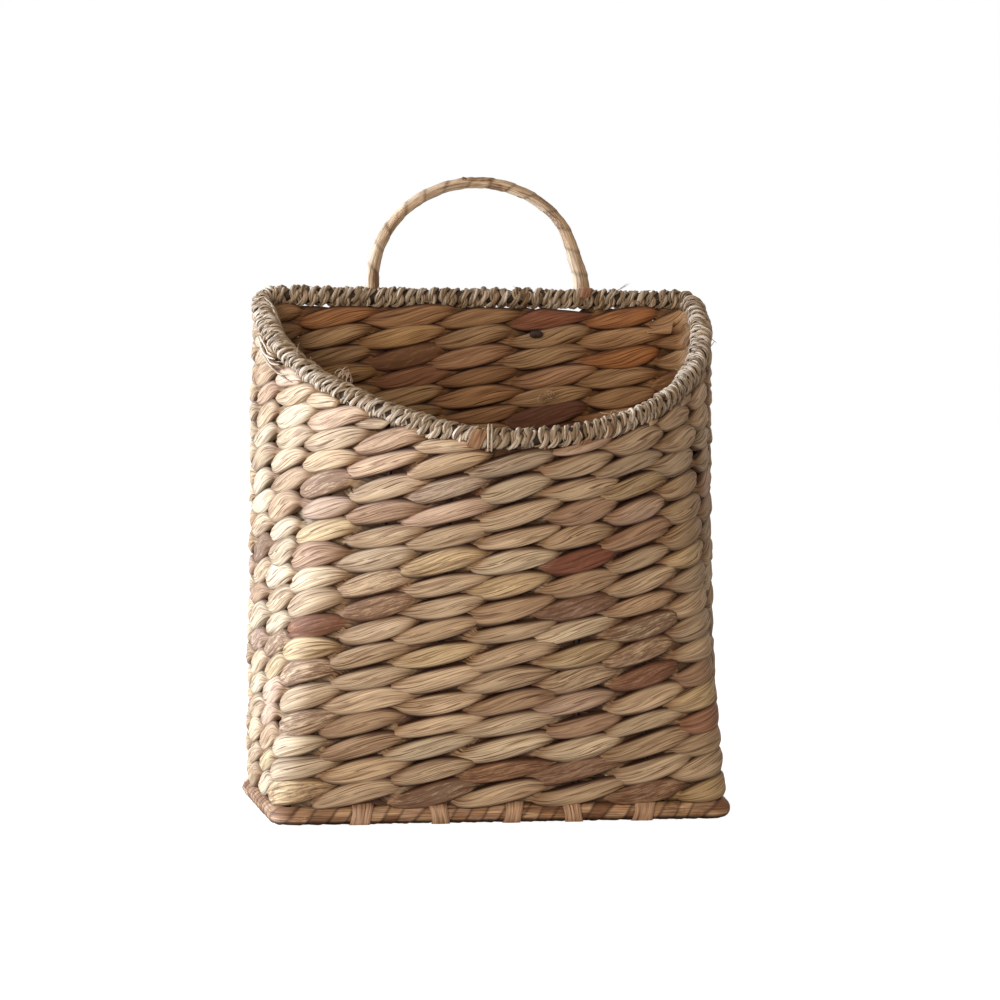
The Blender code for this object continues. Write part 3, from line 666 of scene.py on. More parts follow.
def strand(number, stake, middle, squash, lead, closed):
    """One strand of a row.

    With t the stake number (odd strands one later) and f its part after the point, the turn is
    pi x (whole t + f^q / (f^q + (1-f)^q)), q being the quickness, so the strand swaps sides fast between
    stakes. Depth = reach x a mix of cos(turn) and cos(pi t). With o the distance to the nearest stake, the
    half width = full x (1 - (o / taper share)^taper power), the taper share being smaller on the basket's
    sides, and the height = 2 x climb x o, which makes each bulge a leaning spindle. Each point also moves
    along the wall by slant x facing x its height over the middle. Facing is how far the point looks out of
    the wall, from 1 on the outer face to less than 0 on the inner one, as on any rope seen from both sides.
    """
    seed = 1000 * number + 500 * lead
    trip = float(STAKES) if closed else None
    t = stake + lead + STAKE_SWAY * wander(stake, 1.0, seed + 1, trip)
    whole = np.floor(t)
    early, late = (t - whole) ** QUICKNESS, (1 - t + whole) ** QUICKNESS
    swap_turn = np.pi * (whole + early / (early + late))
    off = t - np.round(t)
    at_side = side_share(stake)
    taper = 1 - np.abs(off / (TAPER_SHARE + (SIDE_TAPER_SHARE - TAPER_SHARE) * at_side)) ** TAPER_POWER
    rise = off * np.cos(np.pi * np.round(t))
    width = HALF_WIDTH * taper * (1 + WIDTH_SWAY * wander(stake, 0.8, seed + 2, trip))
    thick = CROSSING_HALF_THICKNESS + (HALF_THICKNESS - CROSSING_HALF_THICKNESS) * np.cos(np.pi * off)
    thick = thick * (1 + THICKNESS_SWAY * wander(stake, 0.7, seed + 3, trip))
    side = SWAP_MIX[0] * np.cos(swap_turn) + SWAP_MIX[1] * np.cos(np.pi * t)
    deep = REACH * side * (1 + DEPTH_SWAY * wander(stake, 0.9, seed + 4, trip))
    climb = CLIMB * 2 * rise * (1 + CLIMB_SWAY * wander(stake, 1.0, seed + 7, trip))
    line = wall(stake, middle)
    along = travelled(line)
    length = along[-1] + along[1] if closed else None
    bumps = 1 + wrinkles(along, seed + 5, length, WRINKLE_DEPTH)
    across = pressed(np.sin(theta), ACROSS_POWER)
    through = pressed(np.cos(theta), THROUGH_POWER)
    outward = deep[:, None] + thick[:, None] * through * bumps
    upward = (climb[:, None] + width[:, None] * across * (0.75 + 0.25 * bumps)) * squash[:, None]
    facing = np.clip(FACING * (np.cos(theta) + side[:, None]), -0.6, 1)
    lean = SLANT * (1 - SIDE_SLANT_LOSS * at_side) * (1 + SLANT_SWAY * wander(stake, 1.0, seed + 6, trip))
    shifted = stake[:, None] + lean[:, None] * facing * upward / STAKE_SPACING
    point, out, up = wall_frame(shifted, np.repeat(middle[:, None], ROUND, axis=1))
    rings = point + out * outward[..., None] + up * upward[..., None]
    # Painted shade in the tint: on the face against the other strand, in the grooves, at the diving ends and
    # on the inner face.
    hidden = np.clip(-np.cos(theta) * side[:, None] * 2 - 0.8, 0, 1)
    edge = np.clip((np.abs(across) - GROOVE_START) / GROOVE_RUN, 0, 1) ** GROOVE_POWER
    edge = np.maximum(edge, hidden)
    edge = edge * (1 - SIDE_GROOVE_LOSS * at_side[:, None])
    groove = 1 - edge[..., None] * GROOVE_SHADE
    dive = 1 - np.abs(2 * off)[:, None, None] ** 3 * DIVE_SHADE
    inside = np.clip(0.5 - np.cos(theta), 0, 1)[:, None]
    tint = np.repeat(lens_tints(t, seed + 40, number, lead)[:, None], ROUND, axis=1)
    tint[..., :3] = tint[..., :3] * (groove * dive) * (1 - inside * (1 - INSIDE_SHADE))
    drift = -FIBRE_CLIMB * np.sin(np.pi * t)[:, None] * np.cos(theta)
    return skin(f"strand_{number}_{lead}", rings, along + seed * 0.173, 30 * MM, stalk, closed, tint, drift)


print("strand:", STEPS, "steps from stake to stake, bulges up to", round(2 * HALF_WIDTH / MM, 1), "mm wide")

# %% [markdown]
# ## Rows from the base ring to the rim
# Fifteen rows go right round. Seven more stand above them on the back and sides, each as far as the tilted
# rim leaves room. Neighbouring rows share the line between them, so no slit opens, except three thin ones
# under the back rim, where the photograph shows light.

# %% Rows
PITCH = 14.95 * MM
BOUNDARY_SWAY = 1.6 * MM
CROWDING = 0.6
RIM_OVERLAP = 3.5 * MM
LEAST_SHARE = 0.28
# The slits, each with its stake number, its width in stakes and its height.
SLITS = ((10.75, 0.42, 2.7 * MM), (11.75, 0.35, 1.5 * MM), (14.1, 0.5, 1.5 * MM))


def rim_underside(stake):
    """Height of the rim's underside over the wall: rim height - rim radius x stretch by the rim's slope."""
    here = rim_at(stake)
    run = rim_at(stake + 0.02) - rim_at(stake - 0.02)
    stretch = np.linalg.norm(run, axis=-1) / np.linalg.norm(run[..., :2], axis=-1)
    return here[..., 2] - RIM_RADIUS * stretch


front_top, back_top = (float(rim_underside(np.array([float(stake)]))[0]) for stake in (FRONT, BACK))
full_levels = np.linspace(WALL_BOTTOM, front_top, FULL_COURSES + 1)
upper_levels = np.linspace(front_top, back_top + 0.8 * MM, BACK_COURSES + 1)[1:]
levels = np.concatenate([full_levels, upper_levels])


def boundary(number, stake):
    """The line between two rows: its level plus a smooth sway.

    The top row's upper line dips at the slits, by the bell curve exp(-(gap / width)^4) x height.
    """
    if number == len(levels) - 1:
        around = past_front(stake) + FRONT
        dips = (high * np.exp(-(((around - place) / width) ** 4)) for place, width, high in SLITS)
        return levels[number] - sum(dips)
    sway = BOUNDARY_SWAY if number > 0 else 0.0
    return levels[number] + sway * wander(stake, 0.75, 900 + number, float(STAKES))


def crowded(start):
    """Steps right round from a stake, set closer where the strands swap.

    Place = step + crowding x sin(2 pi step) / (2 pi), which is sparse at stakes and dense between them.
    """
    step = np.arange(STAKES * STEPS) / STEPS + start
    return step + CROWDING * np.sin(2 * np.pi * step) / (2 * np.pi)


def has_room(number, stake):
    """Where the rim leaves a row its least height: underside + overlap > lower line + least share x pitch."""
    pitch = levels[number] - levels[number - 1]
    return rim_underside(stake) + RIM_OVERLAP > boundary(number - 1, stake) + LEAST_SHARE * pitch


def row(number):
    """Both strands of a row: right round, or on the back and sides up to where the rim cuts it off."""
    stake = crowded(BACK)
    closed = bool(has_room(number, stake).all())
    if not closed:
        stake = crowded(FRONT)
        enough = has_room(number, stake)
        stake = stake[np.argmax(enough) : len(enough) - np.argmax(enough[::-1])]
    low = boundary(number - 1, stake)
    high = np.minimum(boundary(number, stake), rim_underside(stake) + RIM_OVERLAP)
    tall = np.maximum(high - low, LEAST_SHARE * PITCH)
    meshes = [strand(number, stake, low + tall / 2, tall / PITCH, lead, closed) for lead in (0, 1)]
    return show(f"twined_row_{number:02d}", meshes, [f"course_{number:02d}"])


rows = [row(number + 1) for number in range(len(levels) - 1)]
print("rows:", len(rows), "with", sum(len(item.data.polygons) for item in rows), "faces")

# %% [markdown]
# ## The woven bottom
# The bottom is flat stalks woven over one rod of the base frame and under the next. Each is a pillow-shaped
# band whose height swings with a cosine from rod to rod.

# %% Bottom strands
BOTTOM_ROWS = 5
ROD_SPACES = 3
BOTTOM_SWING = 3.4 * MM
# A little wider than its share of the bottom, so that no light shows between neighbours.
BOTTOM_OVERLAP = 1.17
BOTTOM_HALF_THICKNESS = 1.5 * MM
BOTTOM_STEPS = 121


def bottom_strand(number):
    """A band over and under the rods: height = ring height + swing x cos(pi x rod number)."""
    box_low, box_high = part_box(f"bottom_strand_{number}")
    x = np.linspace(box_low.x, box_high.x, BOTTOM_STEPS)
    middle = (box_low.y + box_high.y) / 2
    side_x = BASE_FRONT_X + (BASE_BACK_X - BASE_FRONT_X) * (middle - BASE_FRONT_Y) / (BACK_Y - BASE_FRONT_Y)
    rod = x / side_x * ROD_SPACES
    fade = np.clip((ROD_SPACES - np.abs(rod)) / 0.6, 0, 1)
    swing = BOTTOM_SWING * np.cos(np.pi * (rod + number + 1)) * fade
    seed = 7000 + 60 * number
    bumps = 1 + wrinkles(x - x[0], seed, None, 0.3)
    width = (box_high.y - box_low.y) / 2 * (BOTTOM_OVERLAP + 0.05 * wander(x, 0.03, seed + 50))
    y = middle + width[:, None] * pressed(np.sin(theta), 0.7) * (0.8 + 0.2 * bumps)
    z = RING_Z + swing[:, None] + BOTTOM_HALF_THICKNESS * np.cos(theta) * bumps
    rings = np.stack([np.repeat(x[:, None], ROUND, 1), y, z], -1)
    tint = np.repeat(lens_tints((rod + number + 1) / 2 + 20, seed)[:, None], ROUND, axis=1)
    mesh = skin(f"bottom_band_{number}", rings, x - x[0] + number, 2.4 * width.mean(), stalk, False, tint)
    return show(f"bottom_band_{number}", [mesh], [f"bottom_strand_{number}"])


bottom = [bottom_strand(number + 1) for number in range(BOTTOM_ROWS)]
print("bottom bands:", len(bottom))

# %% [markdown]
# ## Wrapped strip
# The base ring and the handle are wrapped with flat strip. Each turn overlaps the one before, so the surface
# rises slowly across a turn and drops by the strip's thickness at its edge: a sawtooth of the distance along
# minus the angle round, which makes the edges run slantwise. One skin with this relief is enough, because
# the turns lie tight and nothing shows between them.

# %% Wraps along a path
STRIP_PICKS = 512
WRAP_SIDES = 36
# The share of a turn over which its edge drops, and how far turns wander, as a share of one.
TURN_EDGE = 0.14
TURN_SWAY = 0.22


def path_run(points, closed):
    """The direction along a path at each of its points, from its neighbours on both sides."""
    if closed:
        return unit(np.roll(points, -1, axis=0) - np.roll(points, 1, axis=0))
    return unit(np.gradient(points, axis=0))


def wrapped(name, points, out, radius, turn_length, lean, seed, closed, tones, edge, seam, top_shade=0.0):
    """A strip wound on a round core.

    Turn number = distance / turn length + lean x angle / full circle. Radius = core + edge x the part of
    the turn number after its point, so that each turn starts low and ends proud of the next. Painted shade
    darkens the seams between turns by a share, and the top, where it lies under the wall, by its own.
    """
    run = path_run(points, closed)
    side = np.cross(run, out)
    around = circle(WRAP_SIDES)
    after = np.roll(points, -1, axis=0) if closed else points[1:]
    gaps = np.linalg.norm(after - points[: len(after)], axis=1)
    along = np.append(0.0, np.cumsum(gaps))[: len(points)]
    total = gaps.sum()
    turns = round(total / turn_length)
    warp = TURN_SWAY * wander(along, turn_length * 1.4, seed, total if closed else None)
    number = along / total * turns + warp
    turn = number[:, None] + lean * around / (2 * np.pi)
    part = turn - np.floor(turn)
    height = edge * (np.minimum(part, (1 - part) / TURN_EDGE) - 0.5)
    size = radius + (height + edge * 0.3 * wander(turn, 0.21, seed + 3))
    rings = points[:, None] + out[:, None] * (size * np.cos(around))[..., None]
    rings = rings + side[:, None] * (size * np.sin(around))[..., None]
    draw = np.random.default_rng(seed + 7)
    codes = np.array([linear(code) for code in tones])
    picks = codes[draw.integers(0, len(codes), STRIP_PICKS)] * draw.uniform(0.88, 1.08, STRIP_PICKS)[:, None]
    stain = draw.uniform(0, 1, STRIP_PICKS) ** 3
    which = np.floor(turn).astype(int) % (turns if closed else STRIP_PICKS)
    # Painted shade: darker in the seams between turns, and on the top under the wall.
    shade = 1 - seam * np.clip(1 - np.minimum(part, 1 - part) / TURN_EDGE, 0, 1)
    shade = shade * (1 - top_shade * np.clip((np.sin(around) - 0.4) / 0.3, 0, 1))
    tint = np.concatenate([picks[which] * shade[..., None], stain[which][..., None]], -1)
    return skin(name, rings, along + seed, 2 * np.pi * float(np.mean(radius)), strip, closed, tint)


BINDING_RADIUS = 5.8 * MM
BINDING_Z = BINDING_RADIUS + 0.3 * MM
BINDING_TURN = 11 * MM
RING_GROWTH = 1.8 * MM
RING_STEP = 0.55 * MM
RING_CORNER = 9.5 * MM
STRIP_TONES = ["#CFAC86", "#B38E6A", "#E0BF9B", "#957052", "#CBA98B"]
ring_path = base_outline(RING_GROWTH, RING_CORNER)
distance = np.arange(0, ring_path.length, RING_STEP)
ring_points = ring_path.at(distance)
ring_points = np.concatenate([ring_points, np.full((len(ring_points), 1), BINDING_Z)], 1)
ring_run = unit(np.roll(ring_points, -7, axis=0) - np.roll(ring_points, 7, axis=0))
ring_out = np.stack([ring_run[:, 1], -ring_run[:, 0], np.zeros(len(ring_run))], 1)
ring_look = (31, True, STRIP_TONES, 0.55 * MM, 0.7, 0.93)
binding = wrapped("base_wrapping", ring_points, ring_out, BINDING_RADIUS, BINDING_TURN, 2, *ring_look)
show("base_wrapping", [binding], ["base_binding"])
print("base wrapping:", round(ring_path.length / BINDING_TURN), "turns")

# %% [markdown]
# ## Ties
# At each front stake a wider strip goes over the wrapping and holds it to the stake. It could be cut from
# a tube, but a flat oval section bent on an arc keeps the strip's own thickness and its rounded edges.

# %% Ties over the base ring
TIE_SHIFTS = np.array([3.0, 5.5, 5.5, -3.0, -4.0]) * MM
TIE_ARC = (-62, 118)
TIE_HALF_WIDTH_MM = 6.2
TIE_HALF_THICKNESS = 0.6 * MM
TIE_LEAN = 1.2 * MM


def tie(number):
    """A strip that holds the wrapping to its stake: a flat band bent round the ring on an arc of angles."""
    stake_x = BASE_FRONT_X * (number / 3 - 1)
    middle = base.nearest(np.array([stake_x + TIE_SHIFTS[number - 1], BASE_FRONT_Y]))
    centre = np.array([base.at(middle)[0], BASE_FRONT_Y - RING_GROWTH, BINDING_Z])
    seed = 400 + number
    arc = np.radians(np.linspace(*TIE_ARC, 31))
    reach = BINDING_RADIUS + 1.1 * MM + 0.25 * MM * wander(arc, 0.5, seed)
    wide = (TIE_HALF_WIDTH_MM + 0.8 * np.random.default_rng(seed).uniform(-1, 1)) * MM
    half_width = wide * (1 - 0.08 * np.cos(2 * arc))
    around = circle(16)
    x = half_width[:, None] * pressed(np.cos(around), 0.6)
    lift = reach[:, None] + TIE_HALF_THICKNESS * np.sin(around) * (1 + 0.3 * wander(x / MM, 1.6, seed + 2))
    lean = TIE_LEAN * np.sin(arc)[:, None] * (1 if number % 2 else -1)
    y = -lift * np.cos(arc)[:, None]
    z = lift * np.sin(arc)[:, None]
    rings = centre + np.stack([x + lean, y, np.maximum(z, -BINDING_RADIUS)], -1)
    tint = plain_tint("#D2B192", 0.5, len(arc), len(around))
    mesh = skin(f"base_tie_{number}", rings, reach * arc + number, 4 * half_width.mean(), strip, False, tint)
    return show(f"base_tie_{number}", [mesh], [f"front_tie_{number}"])


ties = [tie(number + 1) for number in range(len(TIE_SHIFTS))]
print("ties:", len(ties))

# %% [markdown]
# ## The handle
# The handle is a bent wire wrapped with strip, and its feet stand behind the rim's rod, where cord lashes
# them. Its path is two short legs and half an ellipse between them. The right leg leans in above its foot,
# by the bell curve exp(-(height from the bend / width)^2), and both legs are thicker at the foot.

# %% Handle
HALF_SPAN = 72.2 * MM
HANDLE_RISE = 68.2 * MM
HANDLE_Y = 0.0964
SHOULDER = RIM_BACK_Z + 10 * MM
FOOT_Z = RIM_BACK_Z + 4 * MM
LEG_BEND = 3.2 * MM
BEND_ABOVE_FOOT = 26 * MM
BEND_WIDTH = 17 * MM
WRAP_RADIUS = 3.85 * MM
FOOT_TALL = 50 * MM
HANDLE_TURN = 15.5 * MM
HANDLE_TONES = ["#E9D2B2", "#E0C6A2", "#EEDABC"]
LEG_STEPS = 7
ARCH_STEPS = 421
# Both feet are thicker by the first number, and the right one by the second as well, in millimetres.
FOOT_GROWTH_MM = (1.0, 0.9)
swing = np.linspace(0, np.pi, ARCH_STEPS)
arch_x = -HALF_SPAN * np.cos(swing)
arch_z = SHOULDER + HANDLE_RISE * np.sin(swing)
leg = np.linspace(FOOT_Z, SHOULDER, LEG_STEPS + 1)[:-1]
handle_x = np.concatenate([np.full(LEG_STEPS, -HALF_SPAN), arch_x, np.full(LEG_STEPS, HALF_SPAN)])
handle_z = np.concatenate([leg, arch_z, leg[::-1]])
from_bend = (handle_z - FOOT_Z - BEND_ABOVE_FOOT) / BEND_WIDTH
handle_x = handle_x - LEG_BEND * np.exp(-(from_bend**2)) * (handle_x > 0)
handle_points = np.stack([handle_x, np.full(len(handle_x), HANDLE_Y), handle_z], 1)
handle_out = np.tile([0.0, -1.0, 0.0], (len(handle_x), 1))
near_foot = np.clip(1 - (handle_z - FOOT_Z) / FOOT_TALL, 0, 1)
foot_growth = (FOOT_GROWTH_MM[0] + FOOT_GROWTH_MM[1] * (handle_x > 0)) * MM
handle_radius = (WRAP_RADIUS + foot_growth * near_foot)[:, None]
handle_look = (57, False, HANDLE_TONES, 0.45 * MM, 0.4)
handle_path = (handle_points, handle_out, handle_radius)
handle_mesh = wrapped("handle_wrapping", *handle_path, HANDLE_TURN, 1, *handle_look)
show("handle_wrapping", [handle_mesh], ["handle_wrap"])
print("handle: arch", round(2 * HALF_SPAN, 4), "m wide and", round(float(arch_z.max()), 4), "m high")

# %% [markdown]
# ## The corded rim
# Seagrass cord is two plies twisted together, and each ply is a few thin blades. So the rim is a twist in
# a twist in a winding: the cord circles the rim rod, the plies circle the cord's middle, and the blades
# circle the ply's middle the other way. Each blade is a slender five-sided tube, which is enough for more
# than a hundred turns seen from nearly two metres away. A dark core, painted shade, fills the winding where
# the cord leaves a gap. The two lashings at the handle's feet are the same cord, in two turns each.

# %% Cord round the rim
TURN = 7.2 * MM
WIND_RADIUS = 4.95 * MM
PLY_LAY = 21 * MM
PLY_RADIUS_MM = 1.5
BLADE_LAY = 33 * MM
BLADE_PATH_MM = 0.92
BLADE_RADIUS_MM = 0.84
BLADES = 4
BLADE_SIDES = 5
BLADE_PICKS = 256
COLOUR_RUN = 0.035
CORE_SIDES = 14
FLAT = (0.85, 1.3)
STEPS_A_TURN = 34
GRASS_TONES = ["#E5D9C5", "#D2C3AA", "#F0E6D5", "#AD9A7E", "#DDCFB8", "#C3B095", "#93795A"]


def rim_frame(distance):
    """At distances along the rim: the point, outwards in the rim's plane and square to that plane's path."""
    point = rim.at(distance)
    run = unit(rim.at(distance + 3 * MM) - rim.at(distance - 3 * MM))
    out = unit(np.stack([run[:, 1], -run[:, 0], np.zeros(len(run))], 1))
    return point, out, np.cross(out, run)


def cord(name, start, end, replaced, seed):
    """All blades of one length of cord, and the dark core inside the winding.

    Cord middle = rim + wind radius x (cos a, sin a), with a = 2 pi x distance / turn. Ply middle = cord
    middle + ply radius x (cos b, sin b), b growing with the cord's length; blades likewise in their ply. The
    cord is flattened against the rim, so its plies and blades circle on ovals.
    """
    turns = round((end - start) / TURN)
    steps = turns * STEPS_A_TURN
    share = np.linspace(0, 1, steps)
    wobble = 0.19 * wander(share * turns, 0.9, seed)
    winding = 2 * np.pi * (share * turns + wobble)
    distance = start + (end - start) * share
    point, out, up = rim_frame(distance)
    radius = WIND_RADIUS * (1 + 0.08 * wander(share * turns, 1.1, seed + 1))
    away = out * np.cos(winding)[:, None] + up * np.sin(winding)[:, None]
    middle = point + away * radius[:, None]
    run = unit(np.gradient(middle, axis=0))
    beside = np.cross(run, away)
    length = travelled(middle)
    corners = circle(BLADE_SIDES)
    codes = np.array([linear(code) for code in GRASS_TONES])
    meshes = []
    for ply in range(2):
        lay = 2 * np.pi * length / PLY_LAY + np.pi * ply + 0.5 * wander(length, 0.02, seed + 5)
        ply_out = away * FLAT[0] * np.cos(lay)[:, None] + beside * FLAT[1] * np.sin(lay)[:, None]
        ply_middle = middle + ply_out * PLY_RADIUS_MM * MM
        for blade in range(BLADES):
            mark = seed + 10 * ply + blade + 20
            roll = -2 * np.pi * length / BLADE_LAY + 2 * np.pi * blade / BLADES
            roll = roll + 0.9 * wander(length, 0.03, mark)
            blade_out = away * FLAT[0] * np.cos(roll)[:, None] + beside * FLAT[1] * np.sin(roll)[:, None]
            lift = (BLADE_PATH_MM + 0.25 * wander(length, 0.014, mark + 100)) * MM
            centre = ply_middle + blade_out * lift[:, None]
            thick = (BLADE_RADIUS_MM + 0.22 * wander(length, 0.012, mark + 200)) * MM
            ring = away[:, None] * FLAT[0] * np.cos(corners)[:, None]
            ring = ring + beside[:, None] * FLAT[1] * np.sin(corners)[:, None]
            rings = centre[:, None] + ring * thick[:, None, None]
            draw = np.random.default_rng(mark)
            picks = codes[draw.integers(0, len(codes), BLADE_PICKS)]
            table = picks * draw.uniform(0.82, 1.1, BLADE_PICKS)[:, None]
            spot = length / COLOUR_RUN
            low = np.floor(spot).astype(int)
            part = (spot - low)[:, None]
            colour = table[low % BLADE_PICKS] * (1 - part) + table[(low + 1) % BLADE_PICKS] * part
            colour = np.concatenate([colour, np.full((len(part), 1), 0.3)], 1)
            tint = np.repeat(colour[:, None], BLADE_SIDES, axis=1)
            meshes.append(skin(name, rings, length + mark, 4.6 * MM, grass, False, tint))
    core_steps = max(8, round((end - start) / (1.5 * MM)))
    distance = np.linspace(start, end, core_steps)
    point, out, up = rim_frame(distance)
    around = circle(CORE_SIDES)
    rings = out[:, None] * np.cos(around)[:, None] + up[:, None] * np.sin(around)[:, None]
    rings = point[:, None] + rings * (WIND_RADIUS - 0.2 * MM)
    # Painted shade: the core is dark to stand for the shade in the gaps between turns.
    tint = plain_tint("#2E2216", 0.3, core_steps, CORE_SIDES)
    meshes.append(skin(name, rings, distance - start, 31 * MM, grass, False, tint))
    piece = show(name, meshes, replaced)
    return piece, turns


# The outline starts at the middle of the front, so the back's middle is half-way along.
FOOT_GAP = 7.8 * MM
LASHING_HALF = 7.6 * MM
FRONT_GAP = 0.4 * MM
back_middle = rim.length / 2
inside = HALF_SPAN - FOOT_GAP
outside = HALF_SPAN + FOOT_GAP
lengths = [
    ("rim_cord_right", FRONT_GAP, back_middle - outside, ["rim_winding_right"], 2100),
    ("rim_cord_back", back_middle - inside, back_middle + inside, ["rim_winding_back"], 2200),
    ("rim_cord_left", back_middle + outside, rim.length - FRONT_GAP, ["rim_winding_left"], 2300),
]
for side, word in ((1, "right"), (-1, "left")):
    place = back_middle - side * HALF_SPAN
    reach = (place - LASHING_HALF, place + LASHING_HALF)
    lengths.append((f"foot_lashing_{word}", *reach, [f"handle_lashing_{word}"], 2400 + side))
cords = [cord(*values) for values in lengths]
faces = sum(len(piece.data.polygons) for piece, turns in cords)
print("rim cord and lashings:", sum(turns for piece, turns in cords), "turns,", faces, "faces")

# %% [markdown]
# ## Loose ends
# A hand-made basket sheds. Hairs stand off the grass cord, some blades of its start lie loose at the left
# corner, and strips of stalk bind the rod where lengths of cord meet. Each is a thin tube or a bent band,
# laid by its distance along the rim and its angle round it, so that it stays on the rim wherever that turns.

# %% Fibres and bands on the rim
BAND_RADIUS = 8.1 * MM
BAND_STEPS = 25


def around_rim(distance, angle, radius):
    """Points round the rim: rim point + radius x (cos of the angle outwards + sin of it upwards)."""
    point, out, up = rim_frame(distance)
    away = out * np.cos(angle)[:, None] + up * np.sin(angle)[:, None]
    return point + away * np.reshape(radius, (-1, 1))


def fibre(name, points, radius, code, material, sides=3):
    """A tube along points, of radius full x (1 - 0.9 |share|^5), share from -1 to 1: both ends are thin."""
    run = unit(np.gradient(points, axis=0))
    beside = unit(np.cross(run, [0.2, -0.4, 0.9]))
    above = np.cross(beside, run)
    size = radius * (1 - 0.9 * np.abs(np.linspace(-1, 1, len(points))) ** 5)
    around = circle(sides)
    ring = beside[:, None] * np.cos(around)[:, None] + above[:, None] * np.sin(around)[:, None]
    rings = points[:, None] + ring * size[:, None, None]
    tint = plain_tint(code, 0.2, len(points), sides)
    return skin(name, rings, travelled(points), 2 * np.pi * radius, material, False, tint)


def band(middle, angles, half_width, slant, code):
    """A strip bent round the rim: a flat oval swept over angles, shifted along the rim by slant x share."""
    angle = np.linspace(*np.radians(angles), BAND_STEPS)
    share = np.linspace(-1, 1, BAND_STEPS)
    around = circle(16)
    across = half_width * pressed(np.cos(around), 0.6)
    distance = middle + across + slant * share[:, None]
    lift = np.tile(BAND_RADIUS + 0.5 * MM * np.sin(around), (BAND_STEPS, 1))
    turned = np.repeat(angle, len(around))
    rings = around_rim(distance.ravel(), turned, lift.ravel()).reshape(BAND_STEPS, len(around), 3)
    tint = plain_tint(code, 0.35, BAND_STEPS, len(around))
    reach = BAND_RADIUS * np.abs(angle - angle[0])
    return skin("binding_bands", rings, reach, 4 * half_width, strip, False, tint)


print("band radius:", round(BAND_RADIUS / MM, 1), "mm round a rim", round(2 * RIM_RADIUS / MM, 1), "mm thick")

# %% [markdown]
# ## Hairs and loose blades
# Cut ends of grass spring away from the cord all round, and a small tuft stands up at the front left. They
# are drawn by chance from one seed: where on the rim, how long, which way and how far out each one bends.
# Particle hair could do this too, but tubes are real surfaces that every program can open.

# %% Hairs on the cord
HAIRS = 46
TUFT = 7
HAIR_START = 6.4 * MM
HAIR_RADIUS = 0.26 * MM
draw = np.random.default_rng(77)
hairs = []
share = np.linspace(0, 1, 7)
for place in draw.uniform(0, rim.length, HAIRS):
    long = draw.uniform(6, 15) * MM
    distance = place + draw.choice([-0.8, 0.8]) * long * share
    angle = draw.uniform(-0.8, np.pi + 0.8) + draw.uniform(-1.0, 1.0) * share
    reach = HAIR_START + long * draw.uniform(0.15, 0.45) * share**1.6
    code = draw.choice(GRASS_TONES[:4])
    hairs.append(fibre("stray_hairs", around_rim(distance, angle, reach), HAIR_RADIUS, code, grass))
# The tuft stands before the rim's end by this much, each hair a little further on.
TUFT_PLACE = 0.1345
share = np.linspace(0, 1, 12)
for number in range(TUFT):
    distance = rim.length - (TUFT_PLACE - 0.0012 * number) + (8 + draw.uniform(-3, 3)) * MM * share
    reach = (6.2 + draw.uniform(5, 10) * np.sin(np.pi * share**0.8)) * MM
    angle = np.pi / 2 + draw.uniform(-0.1, 0.5) + 0.4 * share
    hairs.append(fibre("stray_hairs", around_rim(distance, angle, reach), HAIR_RADIUS, "#C9AE92", grass))
show("stray_hairs", hairs, [])
print("hairs:", len(hairs))

# %% Loose blades of grass
SAGGING = 6
SAGGING_PLACE = 0.228
SPLICE_STARTS = (-18.6 * MM, -16.6 * MM)
CROSSING = 5
CROSSING_PLACE = 0.262
BLADE_THICK = 0.75 * MM
blades = []
# Six blades hang in front of the rim at its left corner.
share = np.linspace(0, 1, 26)
for number in range(SAGGING):
    distance = rim.length - SAGGING_PLACE + (0.034 + 0.004 * number) * share + 2.2 * MM * number
    hang = draw.uniform(2, 4) * np.sin(np.pi * share)
    sag = (2.5 + 1.1 * number + hang + 1.2 * wander(share, 0.25, 80 + number)) * MM
    point, out, up = rim_frame(distance)
    reach = (8.0 + 0.5 * draw.uniform(-1, 1) + 0.7 * wander(share, 0.3, 60 + number)) * MM
    points = point + out * reach[:, None] - up * sag[:, None]
    blades.append(fibre("loose_blades", points, 0.7 * MM, GRASS_TONES[(2 * number) % 7], grass, 5))
# Two lie over the splice in the middle of the front.
share = np.linspace(0, 1, 22)
angle = np.radians(95 - 200 * share)
for start in SPLICE_STARTS:
    points = around_rim(start + 1.5 * MM * share, angle, 8.3 * MM)
    blades.append(fibre("loose_blades", points, BLADE_THICK, "#DACDB2", grass, 5))
# Five cross the rim just before the left corner.
share = np.linspace(0, 1, 24)
for number in range(CROSSING):
    distance = rim.length - CROSSING_PLACE + 0.004 * number + (0.026 + 0.004 * number) * share
    angle = np.radians(100 + 12 * number + 75 * share) + 0.25 * wander(share, 0.4, 90 + number)
    points = around_rim(distance, angle, 7.6 * MM + 0.5 * MM * (number % 2))
    blades.append(fibre("loose_blades", points, BLADE_THICK, GRASS_TONES[number], grass, 5))
show("loose_blades", blades, [])
print("loose blades:", len(blades))

# %% Strips that bind the rod where cord lengths meet
right_foot = back_middle - HALF_SPAN
bands = [
    band(-25.5 * MM, (-105, 35), 4.6 * MM, 3.0 * MM, "#A9835E"),
    band(40 * MM, (-110, -30), 3.8 * MM, 1.5 * MM, "#A57C5C"),
    band(right_foot - 0.5 * MM, (120, 175), 3.6 * MM, 1.5 * MM, "#AC8062"),
]
show("binding_bands", bands, [])
print("binding bands:", len(bands))

# %% [markdown]
# ## Ends of stalk inside
# On the inner back wall one strand is cut short, a few pressed fibres curl off another, and a short dark
# stub lies under the rim. The cut end is a flat oval that grows from a point, and the rest are fine tubes.

